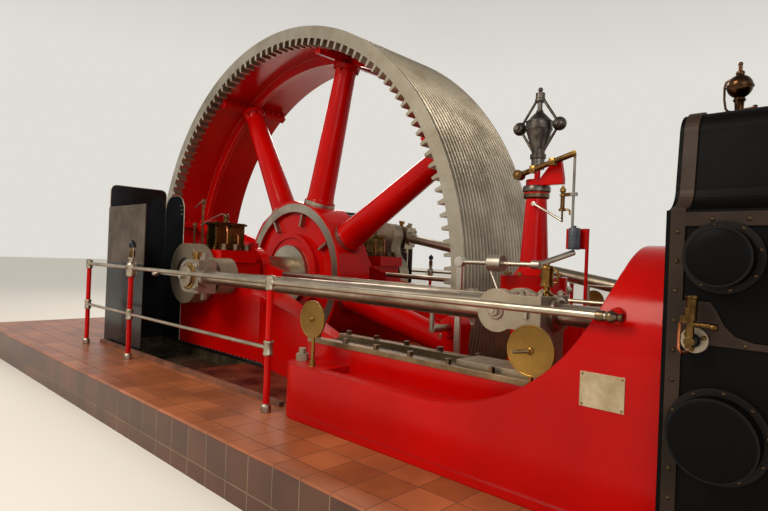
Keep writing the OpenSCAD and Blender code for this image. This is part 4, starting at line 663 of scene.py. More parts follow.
# %% [markdown]
# ## Screws along the brown strips
# The strips that hold the lagging sheet are fixed with round-headed screws about every 110 mm,
# and they catch the light as small dull dots. They are stepped along each strip on both faces
# of the casing, and left out where a valve cover or the cock's flange crosses the strip. A second
# ring of screws holds each cover.

# %% Strip and cover screws
COVERS = [(5.45, 1.178, 0.130), (6.855, 1.178, 0.130), (5.45, 0.545, 0.168), (6.855, 0.545, 0.168)]
COCK_X, COCK_H = 5.37, 0.875
COCK_CLEAR = 0.065
HOOPS = (5.298, 7.007)
HOOP_SCREWS = 12
BAR_SCREWS = 15
SCREW_PITCH = 0.11
UPPER_BAR_H, MIDDLE_BAR_H, LID_H = 1.315, 0.873, 1.758
STRIP_T = 0.008
RING_FACE = 0.0238


def clear_of_covers(x, h, margin=0.02):
    past_cock = math.hypot(x - COCK_X, h - COCK_H) > COCK_CLEAR
    return past_cock and all(math.hypot(x - cx, h - ch) > r + margin for cx, ch, r in COVERS)


def strip_screws(bm, side):
    half = CASING_HALF[side]
    for s in (-1, 1):
        face = ROD_Y + s * (half + STRIP_T)
        outer = s > 0
        for x in HOOPS:
            for i in range(HOOP_SCREWS):
                h = 0.06 + i * SCREW_PITCH
                if not outer or clear_of_covers(x, h):
                    screw(bm, (x, face, h), (0, s, 0), 0.010)
        for i in range(1, BAR_SCREWS):
            x = HOOPS[0] + i * (HOOPS[1] - HOOPS[0]) / BAR_SCREWS
            screw(bm, (x, face, UPPER_BAR_H), (0, s, 0), 0.010)
            if outer and clear_of_covers(x, MIDDLE_BAR_H):
                screw(bm, (x, face, MIDDLE_BAR_H), OUT, 0.008)
    for x in HOOPS:
        for i in range(int(2 * (half - 0.24) / SCREW_PITCH)):
            screw(bm, (x, ROD_Y - half + 0.26 + i * SCREW_PITCH, LID_H), UP, 0.010)


def ring_screws(bm, side):
    face = ROD_Y + CASING_HALF[side] + RING_FACE
    for cx, ch, r in COVERS:
        count = round(math.tau * r / 0.105)
        circle = r - 0.012
        for i in range(count):
            a = math.tau * (i + 0.3) / count
            screw(bm, (cx + circle * math.cos(a), face, ch + circle * math.sin(a)), OUT, 0.008)


on_both_sides("strip_screws", strip_screws, screw_dull)
on_both_sides("cover_screws", ring_screws, screw_dull)

# %% [markdown]
# ## Domed valve covers
# Each cover is a pressed black dish, not a flat disc: its edge is rounded and its face swells a
# little. A profile of six points spun round the cover's axis makes it in one step, and it closes
# over the plain CAD disc.

# %% Dishes on the valve covers
RING_WIDTH = 0.023


def dishes(bm, side):
    for cx, ch, r in COVERS:
        edge = r - RING_WIDTH
        dish = [(edge, 0.022), (edge, 0.080), (edge - 0.003, 0.090), (edge - 0.011, 0.097),
                (edge * 0.6, 0.101), (0, 0.103)]
        turned(bm, dish, (cx, ROD_Y + CASING_HALF[side], ch), OUT, 48)


on_both_sides("cover_dishes", dishes, casing_black)

# %% [markdown]
# ## The indicator cock
# Between the covers a small cock lets an indicator be screwed on: a round steel flange with three
# bolts, a black ball of a plug, a thin copper pipe up its side, a union nut and a cup with a handle
# in browned brass. It is the one thing on the black casing that catches the eye, so it is worth
# its own pieces.

# %% Cock: brass parts, copper pipe and black plug
TUBE_OUT = 0.075
PIPE_OUT = 0.07
FLANGE_T = 0.02
BOLT_CIRCLE = 0.034


def from_cock(side, dx, out, dh):
    """A point measured from the middle of the cock's flange, where it meets the casing."""
    return (COCK_X + dx, ROD_Y + CASING_HALF[side] + out, COCK_H + dh)


def cock_brass(bm, side):
    cup = [(0.0, 0.0), (0.016, 0.0), (0.018, 0.008), (0.019, 0.05), (0.023, 0.054), (0.023, 0.062),
           (0.017, 0.062), (0.014, 0.03), (0.0, 0.03)]
    knob = [(0.0, -0.012), (0.011, -0.010), (0.013, 0.0), (0.011, 0.012), (0.0, 0.014)]
    handle = ((0, 0.062), (0.03, 0.060), (0.07, 0.058))
    turned(bm, cup, from_cock(side, 0.004, TUBE_OUT, 0.10))
    nut(bm, from_cock(side, -0.014, TUBE_OUT, 0.066), UP, 0.034, 0.026)
    pipe(bm, [from_cock(side, dx, TUBE_OUT, dh) for dx, dh in handle], 0.007)
    turned(bm, knob, from_cock(side, 0.074, TUBE_OUT, 0.058), ALONG, 16)
    for degrees in (20, 140, 260):
        a = math.radians(degrees)
        foot = from_cock(side, BOLT_CIRCLE * math.cos(a), FLANGE_T, BOLT_CIRCLE * math.sin(a))
        nut(bm, foot, OUT, 0.014, 0.010, 0.003)


def cock_pipe(bm, side):
    bends = ((-0.034, PIPE_OUT, 0.062), (-0.036, PIPE_OUT, 0.02), (-0.036, PIPE_OUT, -0.03),
             (-0.03, PIPE_OUT - 0.012, -0.045), (-0.02, PIPE_OUT - 0.05, -0.045))
    pipe(bm, [from_cock(side, *bend) for bend in bends], 0.006)


def cock_plug(bm, side):
    plug = [(0.0, 0.0), (0.021, 0.0), (0.026, 0.012), (0.026, 0.022), (0.019, 0.036), (0.0, 0.042)]
    turned(bm, plug, from_cock(side, 0, FLANGE_T, 0), OUT)


on_both_sides("cock_brass", cock_brass, brass_dark)
on_both_sides("cock_pipe", cock_pipe, copper)
on_both_sides("cock_plug", cock_plug, guard_black)

# %% [markdown]
# ## The ball lubricator
# On top of each casing sits a bronze ball for cylinder oil. A small pipe runs from its shoulder
# down outside to a valve at the neck, so that steam can push the oil in. A seam of beading round
# its middle shows where the two halves screw together.

# %% Lubricator pipe, seam and handles
BALL = Vector((5.365, ROD_Y, 1.940))
CASING_TOP = 1.75


def from_ball(dx, dh):
    return (BALL.x + dx, BALL.y, BALL.z + dh)


def lubricator_trim(bm, side):
    seam = [(0.0505, -0.006), (0.0545, -0.004), (0.0545, 0.004), (0.0505, 0.006)]
    neck = [(0.013, 0), (0.032, 0.0), (0.032, 0.010), (0.020, 0.016), (0.017, 0.05), (0.024, 0.056),
            (0.024, 0.072), (0.017, 0.078), (0.019, 0.12), (0.026, 0.13), (0.022, 0.14)]
    valve = [(0, -0.012), (0.012, -0.010), (0.014, 0.0), (0.012, 0.010), (0, 0.012)]
    knob = [(0, -0.010), (0.010, -0.008), (0.012, 0.0), (0.010, 0.008), (0, 0.010)]
    cap = [(0.008, 0.048), (0.016, 0.05), (0.018, 0.058), (0.016, 0.066), (0.008, 0.068)]
    steam_pipe = ((-0.036, 0.036), (-0.053, 0.028), (-0.059, 0.006), (-0.058, -0.05), (-0.052, -0.09),
                  (-0.040, -0.106), (-0.012, -0.112))
    drain = ((0.014, -0.105), (0.044, -0.103), (0.056, -0.1))
    turned(bm, seam, tuple(BALL))
    turned(bm, neck, (BALL.x, BALL.y, CASING_TOP))
    pipe(bm, [from_ball(*bend) for bend in steam_pipe], 0.005)
    turned(bm, valve, from_ball(-0.042, -0.112), ALONG, 16)
    pipe(bm, [from_ball(*bend) for bend in drain], 0.007)
    turned(bm, knob, from_ball(0.060, -0.1), ALONG, 16)
    turned(bm, cap, tuple(BALL), UP, 20)


on_both_sides("lubricator_trim", lubricator_trim, bronze)

# %% [markdown]
# ## Bolts in the wheel
# The rim is cast in eight pieces, joined by flanges over each spoke, and each spoke's palm is
# bolted up to the rim's rib. The bolts stand in a row along each flange and in a ring on each
# palm. One loop walks round the wheel and turns each place by the spoke's angle.

# %% Joint and palm bolts
SPOKES = [31 + 45 * i for i in range(8)]
WHEEL = Matrix.Translation((0, 0, TOP + SHAFT_H))
FLANGE_BOLTS = (-0.08, -0.19, -0.30, -0.41, 0.10, 0.21, 0.32, 0.43, 0.53)
FLANGE_R, FLANGE_HALF = 2.838, 0.045
PALM_R, PALM_CIRCLE, PALM_BOLTS = 2.7085, 0.150, 8


def spoke_turn(angle):
    """Local x runs out along the spoke, local y along the shaft."""
    return Matrix.Rotation(-math.radians(angle), 4, "Y")


bolts = bmesh.new()
for angle in SPOKES:
    turn = spoke_turn(angle)
    for s in (-1, 1):
        for y in FLANGE_BOLTS:
            facing = turn.to_3x3() @ Vector((0, 0, s))
            nut(bolts, turn @ Vector((FLANGE_R, y, s * FLANGE_HALF)), facing, 0.05, 0.034, 0.014)
    for i in range(PALM_BOLTS):
        a = math.tau * (i + 0.5) / PALM_BOLTS
        at = Vector((PALM_R, PALM_CIRCLE * math.cos(a), PALM_CIRCLE * math.sin(a)))
        nut(bolts, turn @ at, turn.to_3x3() @ Vector((-1, 0, 0)), 0.036, 0.026, 0.010)
piece("wheel_bolts", bolts, enamel_red, "shaft", WHEEL)
print("wheel bolts", len(made[-1].data.polygons), "faces")

# %% [markdown]
# ## Swelling roots of the spokes
# A cast spoke never meets its collar at a sharp corner: it swells out in a short hollow curve at
# the hub and again at the palm. A spun profile makes one such curve, and it is repeated for
# the eight spokes.

# %% Hollow curves at both ends of each spoke
SPOKE_FROM, SPOKE_TO = 1.0003, 2.71
THICK, THIN = 0.175, 0.130
CROWN_FROM = 2.62
QUARTER = [math.radians(degrees) for degrees in range(0, 91, 15)]


def taper(x):
    """Radius of a spoke at a distance from the shaft."""
    return THICK + (THIN - THICK) * (x - SPOKE_FROM) / (SPOKE_TO - SPOKE_FROM)


roots = bmesh.new()
for angle in SPOKES:
    out = spoke_turn(angle).to_3x3() @ Vector(ALONG)
    root = [(0.1965 - 0.02 * math.sin(a), 1.0 + 0.05 * (1 - math.cos(a))) for a in QUARTER]
    crown = [(taper(CROWN_FROM) + 0.034 * (1 - math.cos(a)), CROWN_FROM + 0.088 * math.sin(a))
             for a in QUARTER]
    turned(roots, [(0.17, 0.998)] + root + [(taper(1.10), 1.10)], (0, 0, 0), out, 40)
    turned(roots, [(taper(2.6) - 0.001, 2.6)] + crown + [(0.12, 2.709)], (0, 0, 0), out, 40)
piece("spoke_fillets", roots, enamel_red, "shaft", WHEEL)
print("spoke fillets", len(made[-1].data.polygons), "faces")

# %% [markdown]
# ## Edging of the splash guards
# The sheets round the crank are edged with a thin half-round bead, which draws a line of light
# round each one. The bead is a pipe swept along the sheet's own outline. Six rivets on the inner
# sheet hold its bracket. The sheet along the walkway has a plain cut edge.

# %% Bright beads and rivets
GUARD_FACE = 1.505
BEAD = 0.0055


def outline(u0, u1, height, radius):
    """Up one edge of a sheet, round its two corners, and down the other edge."""
    left = [(u0 + radius - radius * math.cos(a), height - radius + radius * math.sin(a)) for a in QUARTER]
    right = [(u1 - radius + radius * math.sin(a), height - radius + radius * math.cos(a)) for a in QUARTER]
    return [(u0, 0.004)] + left + right + [(u1, 0.004)]


def guard_beads(bm, side):
    pipe(bm, [(-1.016, u, h) for u, h in outline(1.497, 2.18, 1.865, 0.07)], BEAD, 8)
    pipe(bm, [(u, 1.501, h) for u, h in outline(-1.0, -0.51, 1.787, 0.18)], BEAD, 8)
    for row in range(3):
        for column in range(2):
            at = (-0.60 + column * 0.045 + row * 0.012, GUARD_FACE, 1.66 - row * 0.05)
            screw(bm, at, OUT, 0.007)


on_both_sides("guard_beads", guard_beads, steel_oiled)

# %% [markdown]
# ## Handrail sockets
# The rails pass through bare sockets on the red posts: a ring at the lower rail, and a taller
# ferrule with a domed cap at the top rail. At its outer end the top rail screws into the bed with a
# dark ball and a nut.

# %% Sockets, caps and the rail's end
POSTS = (-0.965, 0.22, 2.64)
RAIL_Y = 2.40
RAIL_H = 0.922
RAIL_END = (5.0425, RAIL_Y, RAIL_H)


def rail_sockets(bm, side):
    lower = [(0.0245, 0.402), (0.033, 0.402), (0.036, 0.408), (0.036, 0.418), (0.033, 0.424),
             (0.033, 0.484), (0.036, 0.490), (0.036, 0.500), (0.033, 0.506), (0.0245, 0.506)]
    upper = [(0.0305, 0.868), (0.034, 0.868), (0.036, 0.876), (0.034, 0.884), (0.0335, 0.945),
             (0.036, 0.952), (0.034, 0.962), (0.024, 0.970), (0.0, 0.973)]
    collar = [(0.0195, 0.030), (0.027, 0.030), (0.027, 0.048), (0.0195, 0.052)]
    foot = [(0.0245, 0.04), (0.038, 0.04), (0.034, 0.052), (0.028, 0.060), (0.0245, 0.062)]
    for x in POSTS:
        turned(bm, lower, (x, RAIL_Y, 0))
        turned(bm, upper, (x, RAIL_Y, 0))
        for s in (-1, 1):
            rail_goes_on = x != POSTS[0] or s > 0
            if rail_goes_on:
                turned(bm, collar, (x, RAIL_Y, RAIL_H), (s, 0, 0), 20)
        turned(bm, foot, (x, RAIL_Y, 0))


def rail_ends(bm, side):
    ball = [(0.0, 0.024), (0.014, 0.026), (0.0265, 0.006), (0.0265, -0.006), (0.021, -0.018),
            (0.0195, -0.018)]
    end_nut = [(0.0, 0.030), (0.015, 0.030), (0.018, 0.036), (0.018, 0.048), (0.0, 0.052)]
    neck = [(0.0195, -0.060), (0.024, -0.060), (0.026, -0.050), (0.023, -0.026)]
    for profile in (ball, end_nut, neck):
        turned(bm, profile, RAIL_END, ALONG, 20)


on_both_sides("rail_sockets", rail_sockets, steel_oiled)
on_both_sides("rail_ends", rail_ends, steel_nut)

# %% [markdown]
# ## The sight feed on the middle post
# A lubricator with a glass stands on the middle post: a rounded steel body clamps the rail, two
# pillars stand beside the glass, and a black cap with a filler screw closes it. Oil drips past the
# glass, so that each drop can be seen.

# %% Sight feed: body, glass housing and cap
FEED = (POSTS[1], RAIL_Y, 0)


def from_feed(dx, dy, h):
    return (FEED[0] + dx, FEED[1] + dy, h)


def feed_body(bm, side):
    body = [(0.031, 0.830), (0.041, 0.838), (0.047, 0.862), (0.049, 0.905), (0.049, 0.945),
            (0.042, 0.968), (0.030, 0.978), (0.024, 0.985), (0.024, 1.004), (0.034, 1.008),
            (0.034, 1.022), (0.029, 1.026)]
    turned(bm, body, FEED, UP, 32)
    for dx in (-0.026, 0.026):
        pipe(bm, [from_feed(dx, 0, 1.018), from_feed(dx, 0, 1.132)], 0.005, 8)
    nut(bm, from_feed(0, 0.048, 0.925), OUT, 0.034, 0.022, 0.01)
    pipe(bm, [from_feed(0, -0.048, 0.90), from_feed(-0.03, -0.07, 0.89), from_feed(-0.05, -0.08, 0.86)],
         0.007, 8)


def feed_cap(bm, side):
    cap = [(0.031, 1.126), (0.037, 1.128), (0.037, 1.168), (0.030, 1.182), (0.014, 1.188),
           (0.014, 1.202), (0.0, 1.206)]
    turned(bm, cap, FEED, UP, 32)


on_both_sides("feed_body", feed_body, steel_oiled)
on_both_sides("feed_cap", feed_cap, guard_black)

# %% [markdown]
# ## Oil discs
# Each brass disc dips in an oil tray and wipes oil on to the slide. It has a rolled edge, a small
# boss on a pin, and its post stands in a nut with a locknut. The disc beside the arch also has a
# short arm at its middle.

# %% Disc edges, bosses and post feet
DISCS = ((2.99, 2.30, 0.689, 0.37), (4.60, 2.25, 0.703, 0.33))
POST_BACK = 0.02


def disc_trim(bm, side):
    rolled_edge = [(0.118, -0.012), (0.127, -0.012), (0.129, -0.005), (0.127, 0.002), (0.118, 0.002),
                   (0.116, -0.0005), (0.124, -0.005), (0.116, -0.0095), (0.118, -0.012)]
    front_boss = [(0.020, 0.0), (0.018, 0.006), (0.010, 0.010), (0.009, 0.022), (0.0, 0.025)]
    back_boss = [(0.0, -0.045), (0.016, -0.045), (0.018, -0.030), (0.018, -0.012), (0.014, -0.010)]
    locknut = [(0.012, 0.024), (0.020, 0.026), (0.020, 0.036), (0.0125, 0.044)]
    for x, y, h, foot_h in DISCS:
        turned(bm, rolled_edge, (x, y, h), OUT, 48)
        turned(bm, front_boss, (x, y, h), OUT, 20)
        turned(bm, back_boss, (x, y, h), OUT, 20)
        nut(bm, (x, y - POST_BACK, foot_h), UP, 0.042, 0.024)
        turned(bm, locknut, (x, y - POST_BACK, foot_h), UP, 20)


def disc_arm(bm, side):
    pipe(bm, [(4.60, 2.268, 0.703), (4.545, 2.272, 0.692), (4.520, 2.272, 0.690)], 0.008, 10)


on_both_sides("disc_trim", disc_trim, brass_disc)
on_both_sides("disc_arm", disc_arm, steel_nut)

# %% [markdown]
# ## A frame that moves
# The crosshead slides and the connecting rod swings, so what is bolted to them must ride on their
# bodies. It is drawn in the frame of the crosshead's pin, with x running towards the cylinder. At
# rest the near crank lies level and the far one stands a quarter turn on, so the far rod is
# tilted and its pin lies nearer to the shaft.

# %% Frames of the two connecting rods and slides
CRANK_R, ROD_L = 0.61, 3.66
TILT = {"near": 0.0, "far": math.asin(CRANK_R / ROD_L)}
PIN_X = {"near": CRANK_R + ROD_L, "far": ROD_L * math.cos(TILT["far"])}


def slide_frame(side):
    return PLACES[side] @ Matrix.Translation((PIN_X[side], ROD_Y, SHAFT_H))


def rod_frame(side):
    return slide_frame(side) @ Matrix.Rotation(TILT[side], 4, "Y")


def moving(name, build, material, frame_of, part):
    """One piece on each side's rod or slide, which are separate bodies."""
    for side in PLACES:
        bm = bmesh.new()
        build(bm)
        piece(f"{side}_{name}", bm, material, f"{side}_{part}", frame_of(side))
    print("made", name)


print("the far rod is tilted by", round(math.degrees(TILT["far"]), 2), "degrees")

# %% [markdown]
# ## Nuts, studs and cotters of the motion work
# The big end's strap is held by a gib and cotter with a set screw, the pin runs in a brass bush with
# a domed cap over its end, and the crosshead has its own cotter and a collar for the piston rod. The
# oil cup on the crosshead gets its hoops, its lid and its handle.

# %% Bushes, cotters and nuts
BIG_END = (-ROD_L, 0, 0)
PIN = (0, 0, 0)
CUP_FOOT = (0.22, 0, 0.0933)
STRAP_HALF = 0.1655


def big_end_brass(bm):
    bush = [(0.106, 0.1), (0.138, 0.1), (0.138, 0.106), (0.132, 0.109), (0.106, 0.109)]
    for s in (-1, 1):
        turned(bm, bush, BIG_END, (0, s, 0), 40)


def big_end_steel(bm):
    pin_cap = [(0.0, 0.137), (0.026, 0.137), (0.030, 0.133), (0.084, 0.133), (0.094, 0.124)]
    turned(bm, pin_cap, BIG_END, OUT, 40)
    for h in (-0.11, 0.11):
        nut(bm, (-3.475, 0.1, h), OUT, 0.046, 0.03, 0.012)
    block(bm, (-3.535, -0.024, -0.235), (-3.487, 0.024, -0.166))
    nut(bm, (-3.56, 0.0, 0.165), UP, 0.04, 0.026, 0.01)
    for h in (-STRAP_HALF, STRAP_HALF):
        block(bm, (-3.72, -0.0995, h - 0.0015), (-3.46, 0.0995, h + 0.0015), 0.001)


def crosshead_steel(bm):
    pin_end = [(0.0, 0.163), (0.046, 0.163), (0.052, 0.155)]
    rod_collar = [(0.0585, 0.27), (0.092, 0.27), (0.092, 0.30), (0.078, 0.31), (0.0585, 0.31)]
    for s in (-1, 1):
        turned(bm, pin_end, PIN, (0, s, 0), 32)
        nut(bm, (0, s * 0.163, 0), (0, s, 0), 0.06, 0.03, 0.012)
    for x in (0.135, 0.245):
        for y in (-0.118, 0.118):
            nut(bm, (x, y, 0.093), UP, 0.034, 0.022, 0.008)
    block(bm, (0.176, -0.172, -0.03), (0.2, 0.172, 0.03))
    turned(bm, rod_collar, PIN, ALONG, 36)


def cup_trim(bm):
    foot = [(0.0175, 0.0), (0.036, 0.0), (0.036, 0.012), (0.024, 0.018), (0.0175, 0.03)]
    hoop = [(0.0345, 0.05), (0.0375, 0.052), (0.0375, 0.062), (0.0345, 0.066)]
    lid = [(0.0345, 0.142), (0.0375, 0.146), (0.0375, 0.156), (0.032, 0.164), (0.0, 0.166)]
    for profile in (foot, hoop, lid):
        turned(bm, profile, CUP_FOOT, UP, 24)
    handle = ((0.255, 0.168), (0.277, 0.168), (0.28, 0.174), (0.28, 0.228), (0.277, 0.235), (0.255, 0.235))
    pipe(bm, [(x, 0, h) for x, h in handle], 0.006, 10)


moving("big_end_bush", big_end_brass, brass, rod_frame, "rod")
moving("big_end_nuts", big_end_steel, steel_satin, rod_frame, "rod")
moving("crosshead_nuts", crosshead_steel, steel_oiled, slide_frame, "slide")
moving("oil_cup_trim", cup_trim, brass, slide_frame, "slide")

# %% [markdown]
# ## The oil box and its pipes
# A brass box on each bearing cap holds oil. It has a moulded lid with a filler, sight windows framed
# on its sides, copper pipes down to the bearing, and tall standpipes with long handles beside it. Cup
# nuts stand on the cap in front of it. The box's place and half sizes are named once, and its frames
# and lid follow them.

# %% Lid, standpipes, frames and cup nuts
CAP_TOP = 1.140
BOX_Y = 1.225
BOX_TOP = CAP_TOP + 0.290
BOX_HALF = (0.100, 0.185)
FRAME_W, FRAME_T = 0.024, 0.006
LID_EDGE = 0.012
STANDPIPE_Y = 1.45
STANDPIPES = ((-0.14, 1.71, 0.0125), (-0.33, 1.43, 0.0105))


def window_frame(bm, face, low, high, out):
    """Four strips round a window. face is 0 for a face across x and 1 for one across y."""
    wall = BOX_HALF[face] * out
    near, far = sorted((wall, wall + out * FRAME_T))
    strips = [(low, low + FRAME_W, CAP_TOP, BOX_TOP), (high - FRAME_W, high, CAP_TOP, BOX_TOP),
              (low, high, CAP_TOP, CAP_TOP + FRAME_W), (low, high, BOX_TOP - FRAME_W, BOX_TOP)]
    for u0, u1, h0, h1 in strips:
        if face == 0:
            block(bm, (near, BOX_Y + u0, h0), (far, BOX_Y + u1, h1), 0.002)
        else:
            block(bm, (u0, BOX_Y + near, h0), (u1, BOX_Y + far, h1), 0.002)


def box_trim(bm, side):
    filler = [(0.0225, 0.0), (0.034, 0.0), (0.036, 0.012), (0.028, 0.02), (0.026, 0.045), (0.032, 0.05),
              (0.032, 0.06), (0.0225, 0.066)]
    foot = [(0.010, 0.0), (0.024, 0.004), (0.024, 0.018), (0.010, 0.024)]
    head = [(0.010, -0.03), (0.021, -0.026), (0.023, 0.0), (0.021, 0.012), (0.012, 0.022), (0.0, 0.024)]
    half_x, half_y = BOX_HALF
    for out in (-1, 1):
        window_frame(bm, 1, -half_x, half_x, out)
        window_frame(bm, 0, -half_y, 0.0, out)
        window_frame(bm, 0, 0.0, half_y, out)
    block(bm, (-half_x - LID_EDGE, BOX_Y - half_y - LID_EDGE, BOX_TOP + 0.0225),
          (half_x + LID_EDGE, BOX_Y + half_y + LID_EDGE, BOX_TOP + 0.034), 0.005)
    turned(bm, filler, (0, BOX_Y, BOX_TOP + 0.034), UP, 24)
    for x, top, radius in STANDPIPES:
        pipe(bm, [(x, STANDPIPE_Y, CAP_TOP), (x, STANDPIPE_Y, top)], radius, 14)
        turned(bm, foot, (x, STANDPIPE_Y, CAP_TOP), UP, 20)
        turned(bm, head, (x, STANDPIPE_Y, top), UP, 24)


def box_handles(bm, side):
    long_handle = ((0.0, 0.0, 1.560), (-0.10, 0.01, 1.570), (-0.30, 0.02, 1.52), (-0.55, 0.03, 1.44))
    pipe(bm, [(x, BOX_Y + dy, h) for x, dy, h in long_handle], 0.007, 8)
    pipe(bm, [(-0.14, 1.45, 1.69), (-0.20, 1.448, 1.70), (-0.28, 1.445, 1.67), (-0.34, 1.44, 1.645)],
         0.0065, 8)


def box_pipes(bm, side):
    wide_bend = ((0.10, 1.41), (0.15, 1.415), (0.18, 1.395), (0.19, 1.35), (0.192, 1.26), (0.192, 1.139))
    tight_bend = ((0.10, 1.33), (0.14, 1.33), (0.165, 1.30), (0.168, 1.139))
    pipe(bm, [(x, BOX_Y + 0.09, h) for x, h in wide_bend], 0.009, 10)
    pipe(bm, [(x, BOX_Y - 0.07, h) for x, h in tight_bend], 0.007, 10)


def cup_nuts(bm, side):
    dome = [(0.014, 0.03), (0.020, 0.034), (0.020, 0.05), (0.010, 0.058), (0.0, 0.06)]
    for x in (-0.17, 0.0, 0.17):
        at = (x, 1.455, CAP_TOP)
        nut(bm, at, UP, 0.05, 0.03)
        turned(bm, dome, at, UP, 20)


on_both_sides("oil_box_trim", box_trim, brass_dark)
on_both_sides("oil_box_handles", box_handles, steel_oiled)
on_both_sides("oil_box_pipes", box_pipes, copper)
on_both_sides("cap_cup_nuts", cup_nuts, brass_dark)

# %% [markdown]
# ## The tray's deck
# Between the crank pit and the curve of the bed the floor is plated with oily sheet, edged along
# the bed by a black strip with bright rivets. The strip follows the bed's quarter circle, so its
# points come from the same centre and radius.

# %% Deck plate, edge strip and rivets
SWEEP = Vector((1.86, 2.36))
SWEEP_R = 0.86
DECK_T = 0.004
RIVET_PITCH = 0.085


def on_sweep(gap, degrees):
    """A point inside the bed's quarter circle, at a gap from it."""
    a = math.radians(degrees)
    return (SWEEP.x + (SWEEP_R - gap) * math.sin(a), SWEEP.y - (SWEEP_R - gap) * math.cos(a))


def deck(bm, side):
    arc = [on_sweep(0.004, a) for a in range(0, 73, 6)]
    edge = [(1.062, 1.505)] + arc + [(arc[-1][0], 2.165), (1.062, 2.165)]
    face = bm.faces.new([bm.verts.new((x, y, 0.0)) for x, y in edge])
    raised = bmesh.ops.extrude_face_region(bm, geom=[face])["geom"]
    top = [v for v in raised if isinstance(v, bmesh.types.BMVert)]
    bmesh.ops.translate(bm, vec=(0, 0, DECK_T), verts=top)


def edge_points():
    straight = [(x, 1.51) for x in (-0.50, -0.1, 0.3, 0.7, 1.1, 1.5)]
    return straight + [on_sweep(0.012, a) for a in range(0, 76, 5)]


def edge_strip(bm, side):
    pipe(bm, [(x, y, 0.014) for x, y in edge_points()], 0.018, 8)


def edge_rivets(bm, side):
    points = [Vector((x, y, 0)) for x, y in edge_points()]
    for a, b in zip(points, points[1:]):
        steps = max(1, round((b - a).length / RIVET_PITCH))
        for i in range(steps):
            at = a.lerp(b, i / steps)
            screw(bm, (at.x, at.y + 0.004, 0.030), (0, 0.3, 1), 0.006)


on_both_sides("tray_deck", deck, tray_steel)
on_both_sides("deck_edge", edge_strip, guard_black)
on_both_sides("deck_rivets", edge_rivets, steel_oiled)

# %% [markdown]
# ## The governor's fittings
# Under the red cap the column wears two dark rings, and a small bright lever slopes across it. The
# long lever is pinned through brass blocks, the dashpot is slate blue with hoops, and a drip oiler
# hangs beside it. They stand only on the near side, where the photograph shows the governor.

# %% Governor rings, pins, dashpot shell and drip oiler
GOV = Vector((3.90, 0.96))
LEVER_TAIL, LEVER_END = (-0.078, 1.772), (0.345, 1.893)
CLAMPS = (0.035, 0.183)
STAND_BOLTS = 8
ROD_OUT = 0.125
DASHPOT = (0.362, ROD_OUT, 1.238)
OILER_X = 0.268


def near_only(name, build, material, body="engine"):
    bm = bmesh.new()
    build(bm)
    piece(name, bm, material, body, PLACES["near"])
    print("made", name)


def gov(dx, dy, h):
    """A point measured from the governor's spindle."""
    return (GOV.x + dx, GOV.y + dy, h)


AXIS = gov(0, 0, 0)


def lever_h(dx):
    """Height of the sloping lever at a distance from the spindle."""
    slope = (LEVER_END[1] - LEVER_TAIL[1]) / (LEVER_END[0] - LEVER_TAIL[0])
    return LEVER_TAIL[1] + (dx - LEVER_TAIL[0]) * slope


def governor_dark_ring(bm):
    ring = [(0.081, 1.652), (0.095, 1.652), (0.101, 1.660), (0.101, 1.690), (0.095, 1.700), (0.081, 1.700)]
    turned(bm, ring, AXIS, UP, 40)


def governor_lower_ring(bm):
    ring = [(0.0755, 1.604), (0.084, 1.606), (0.094, 1.614), (0.094, 1.640), (0.088, 1.648), (0.081, 1.651)]
    turned(bm, ring, AXIS, UP, 40)


def governor_hand_lever(bm):
    boss = [(0.0, -0.012), (0.017, -0.010), (0.019, 0.0), (0.017, 0.010), (0.0, 0.012)]
    pipe(bm, [gov(0.038, 0.105, 1.560), gov(0.266, ROD_OUT, 1.433)], 0.009, 10)
    turned(bm, boss, gov(0.038, 0.105, 1.560), OUT, 20)


def governor_pins(bm):
    nut(bm, gov(LEVER_TAIL[0], 0.156, LEVER_TAIL[1]), OUT, 0.026, 0.014, 0.006)
    for dx in (*CLAMPS, LEVER_END[0]):
        nut(bm, gov(dx, 0.146, lever_h(dx)), OUT, 0.026, 0.014, 0.006)
    for dx in CLAMPS:
        h = lever_h(dx)
        block(bm, gov(dx - 0.022, 0.1, h - 0.026), gov(dx + 0.022, 0.15, h + 0.026), 0.004)
    for i in range(STAND_BOLTS):
        a = math.tau * i / STAND_BOLTS
        nut(bm, gov(0.2 * math.cos(a), 0.2 * math.sin(a), 1.04), UP, 0.03, 0.018, 0.006)


def dashpot_shell(bm):
    shell = [(0.0, -0.004), (0.037, -0.004), (0.0395, 0.0), (0.0395, 0.030), (0.041, 0.032), (0.041, 0.040),
             (0.0395, 0.042), (0.0395, 0.085), (0.041, 0.087), (0.041, 0.095), (0.0395, 0.097),
             (0.0395, 0.135), (0.036, 0.1425), (0.012, 0.1435), (0.012, 0.158), (0.0, 0.158)]
    turned(bm, shell, gov(*DASHPOT), UP, 32)


def drip_oiler(bm):
    at = gov(OILER_X, ROD_OUT, 0)
    glass_ring = [(0.0155, 1.60), (0.022, 1.602), (0.022, 1.612), (0.0155, 1.614)]
    base_ring = [(0.0155, 1.498), (0.024, 1.499), (0.026, 1.51), (0.0155, 1.52)]
    cap = [(0.0155, 1.63), (0.021, 1.634), (0.021, 1.652), (0.010, 1.662), (0.009, 1.675), (0.0, 1.677)]
    for profile in (glass_ring, base_ring, cap):
        turned(bm, profile, at, UP, 20)
    spout = ((OILER_X, 1.51), (0.31, 1.508), (0.322, 1.50), (0.324, 1.47))
    pipe(bm, [gov(dx, ROD_OUT, h) for dx, h in spout], 0.007, 10)


near_only("governor_dark_ring", governor_dark_ring, iron_bronzed)
near_only("governor_lower_ring", governor_lower_ring, steel_nut)
near_only("governor_hand_lever", governor_hand_lever, steel_clean)
near_only("governor_pins", governor_pins, brass)
near_only("dashpot_shell", dashpot_shell, slate_paint)
near_only("drip_oiler", drip_oiler, brass)

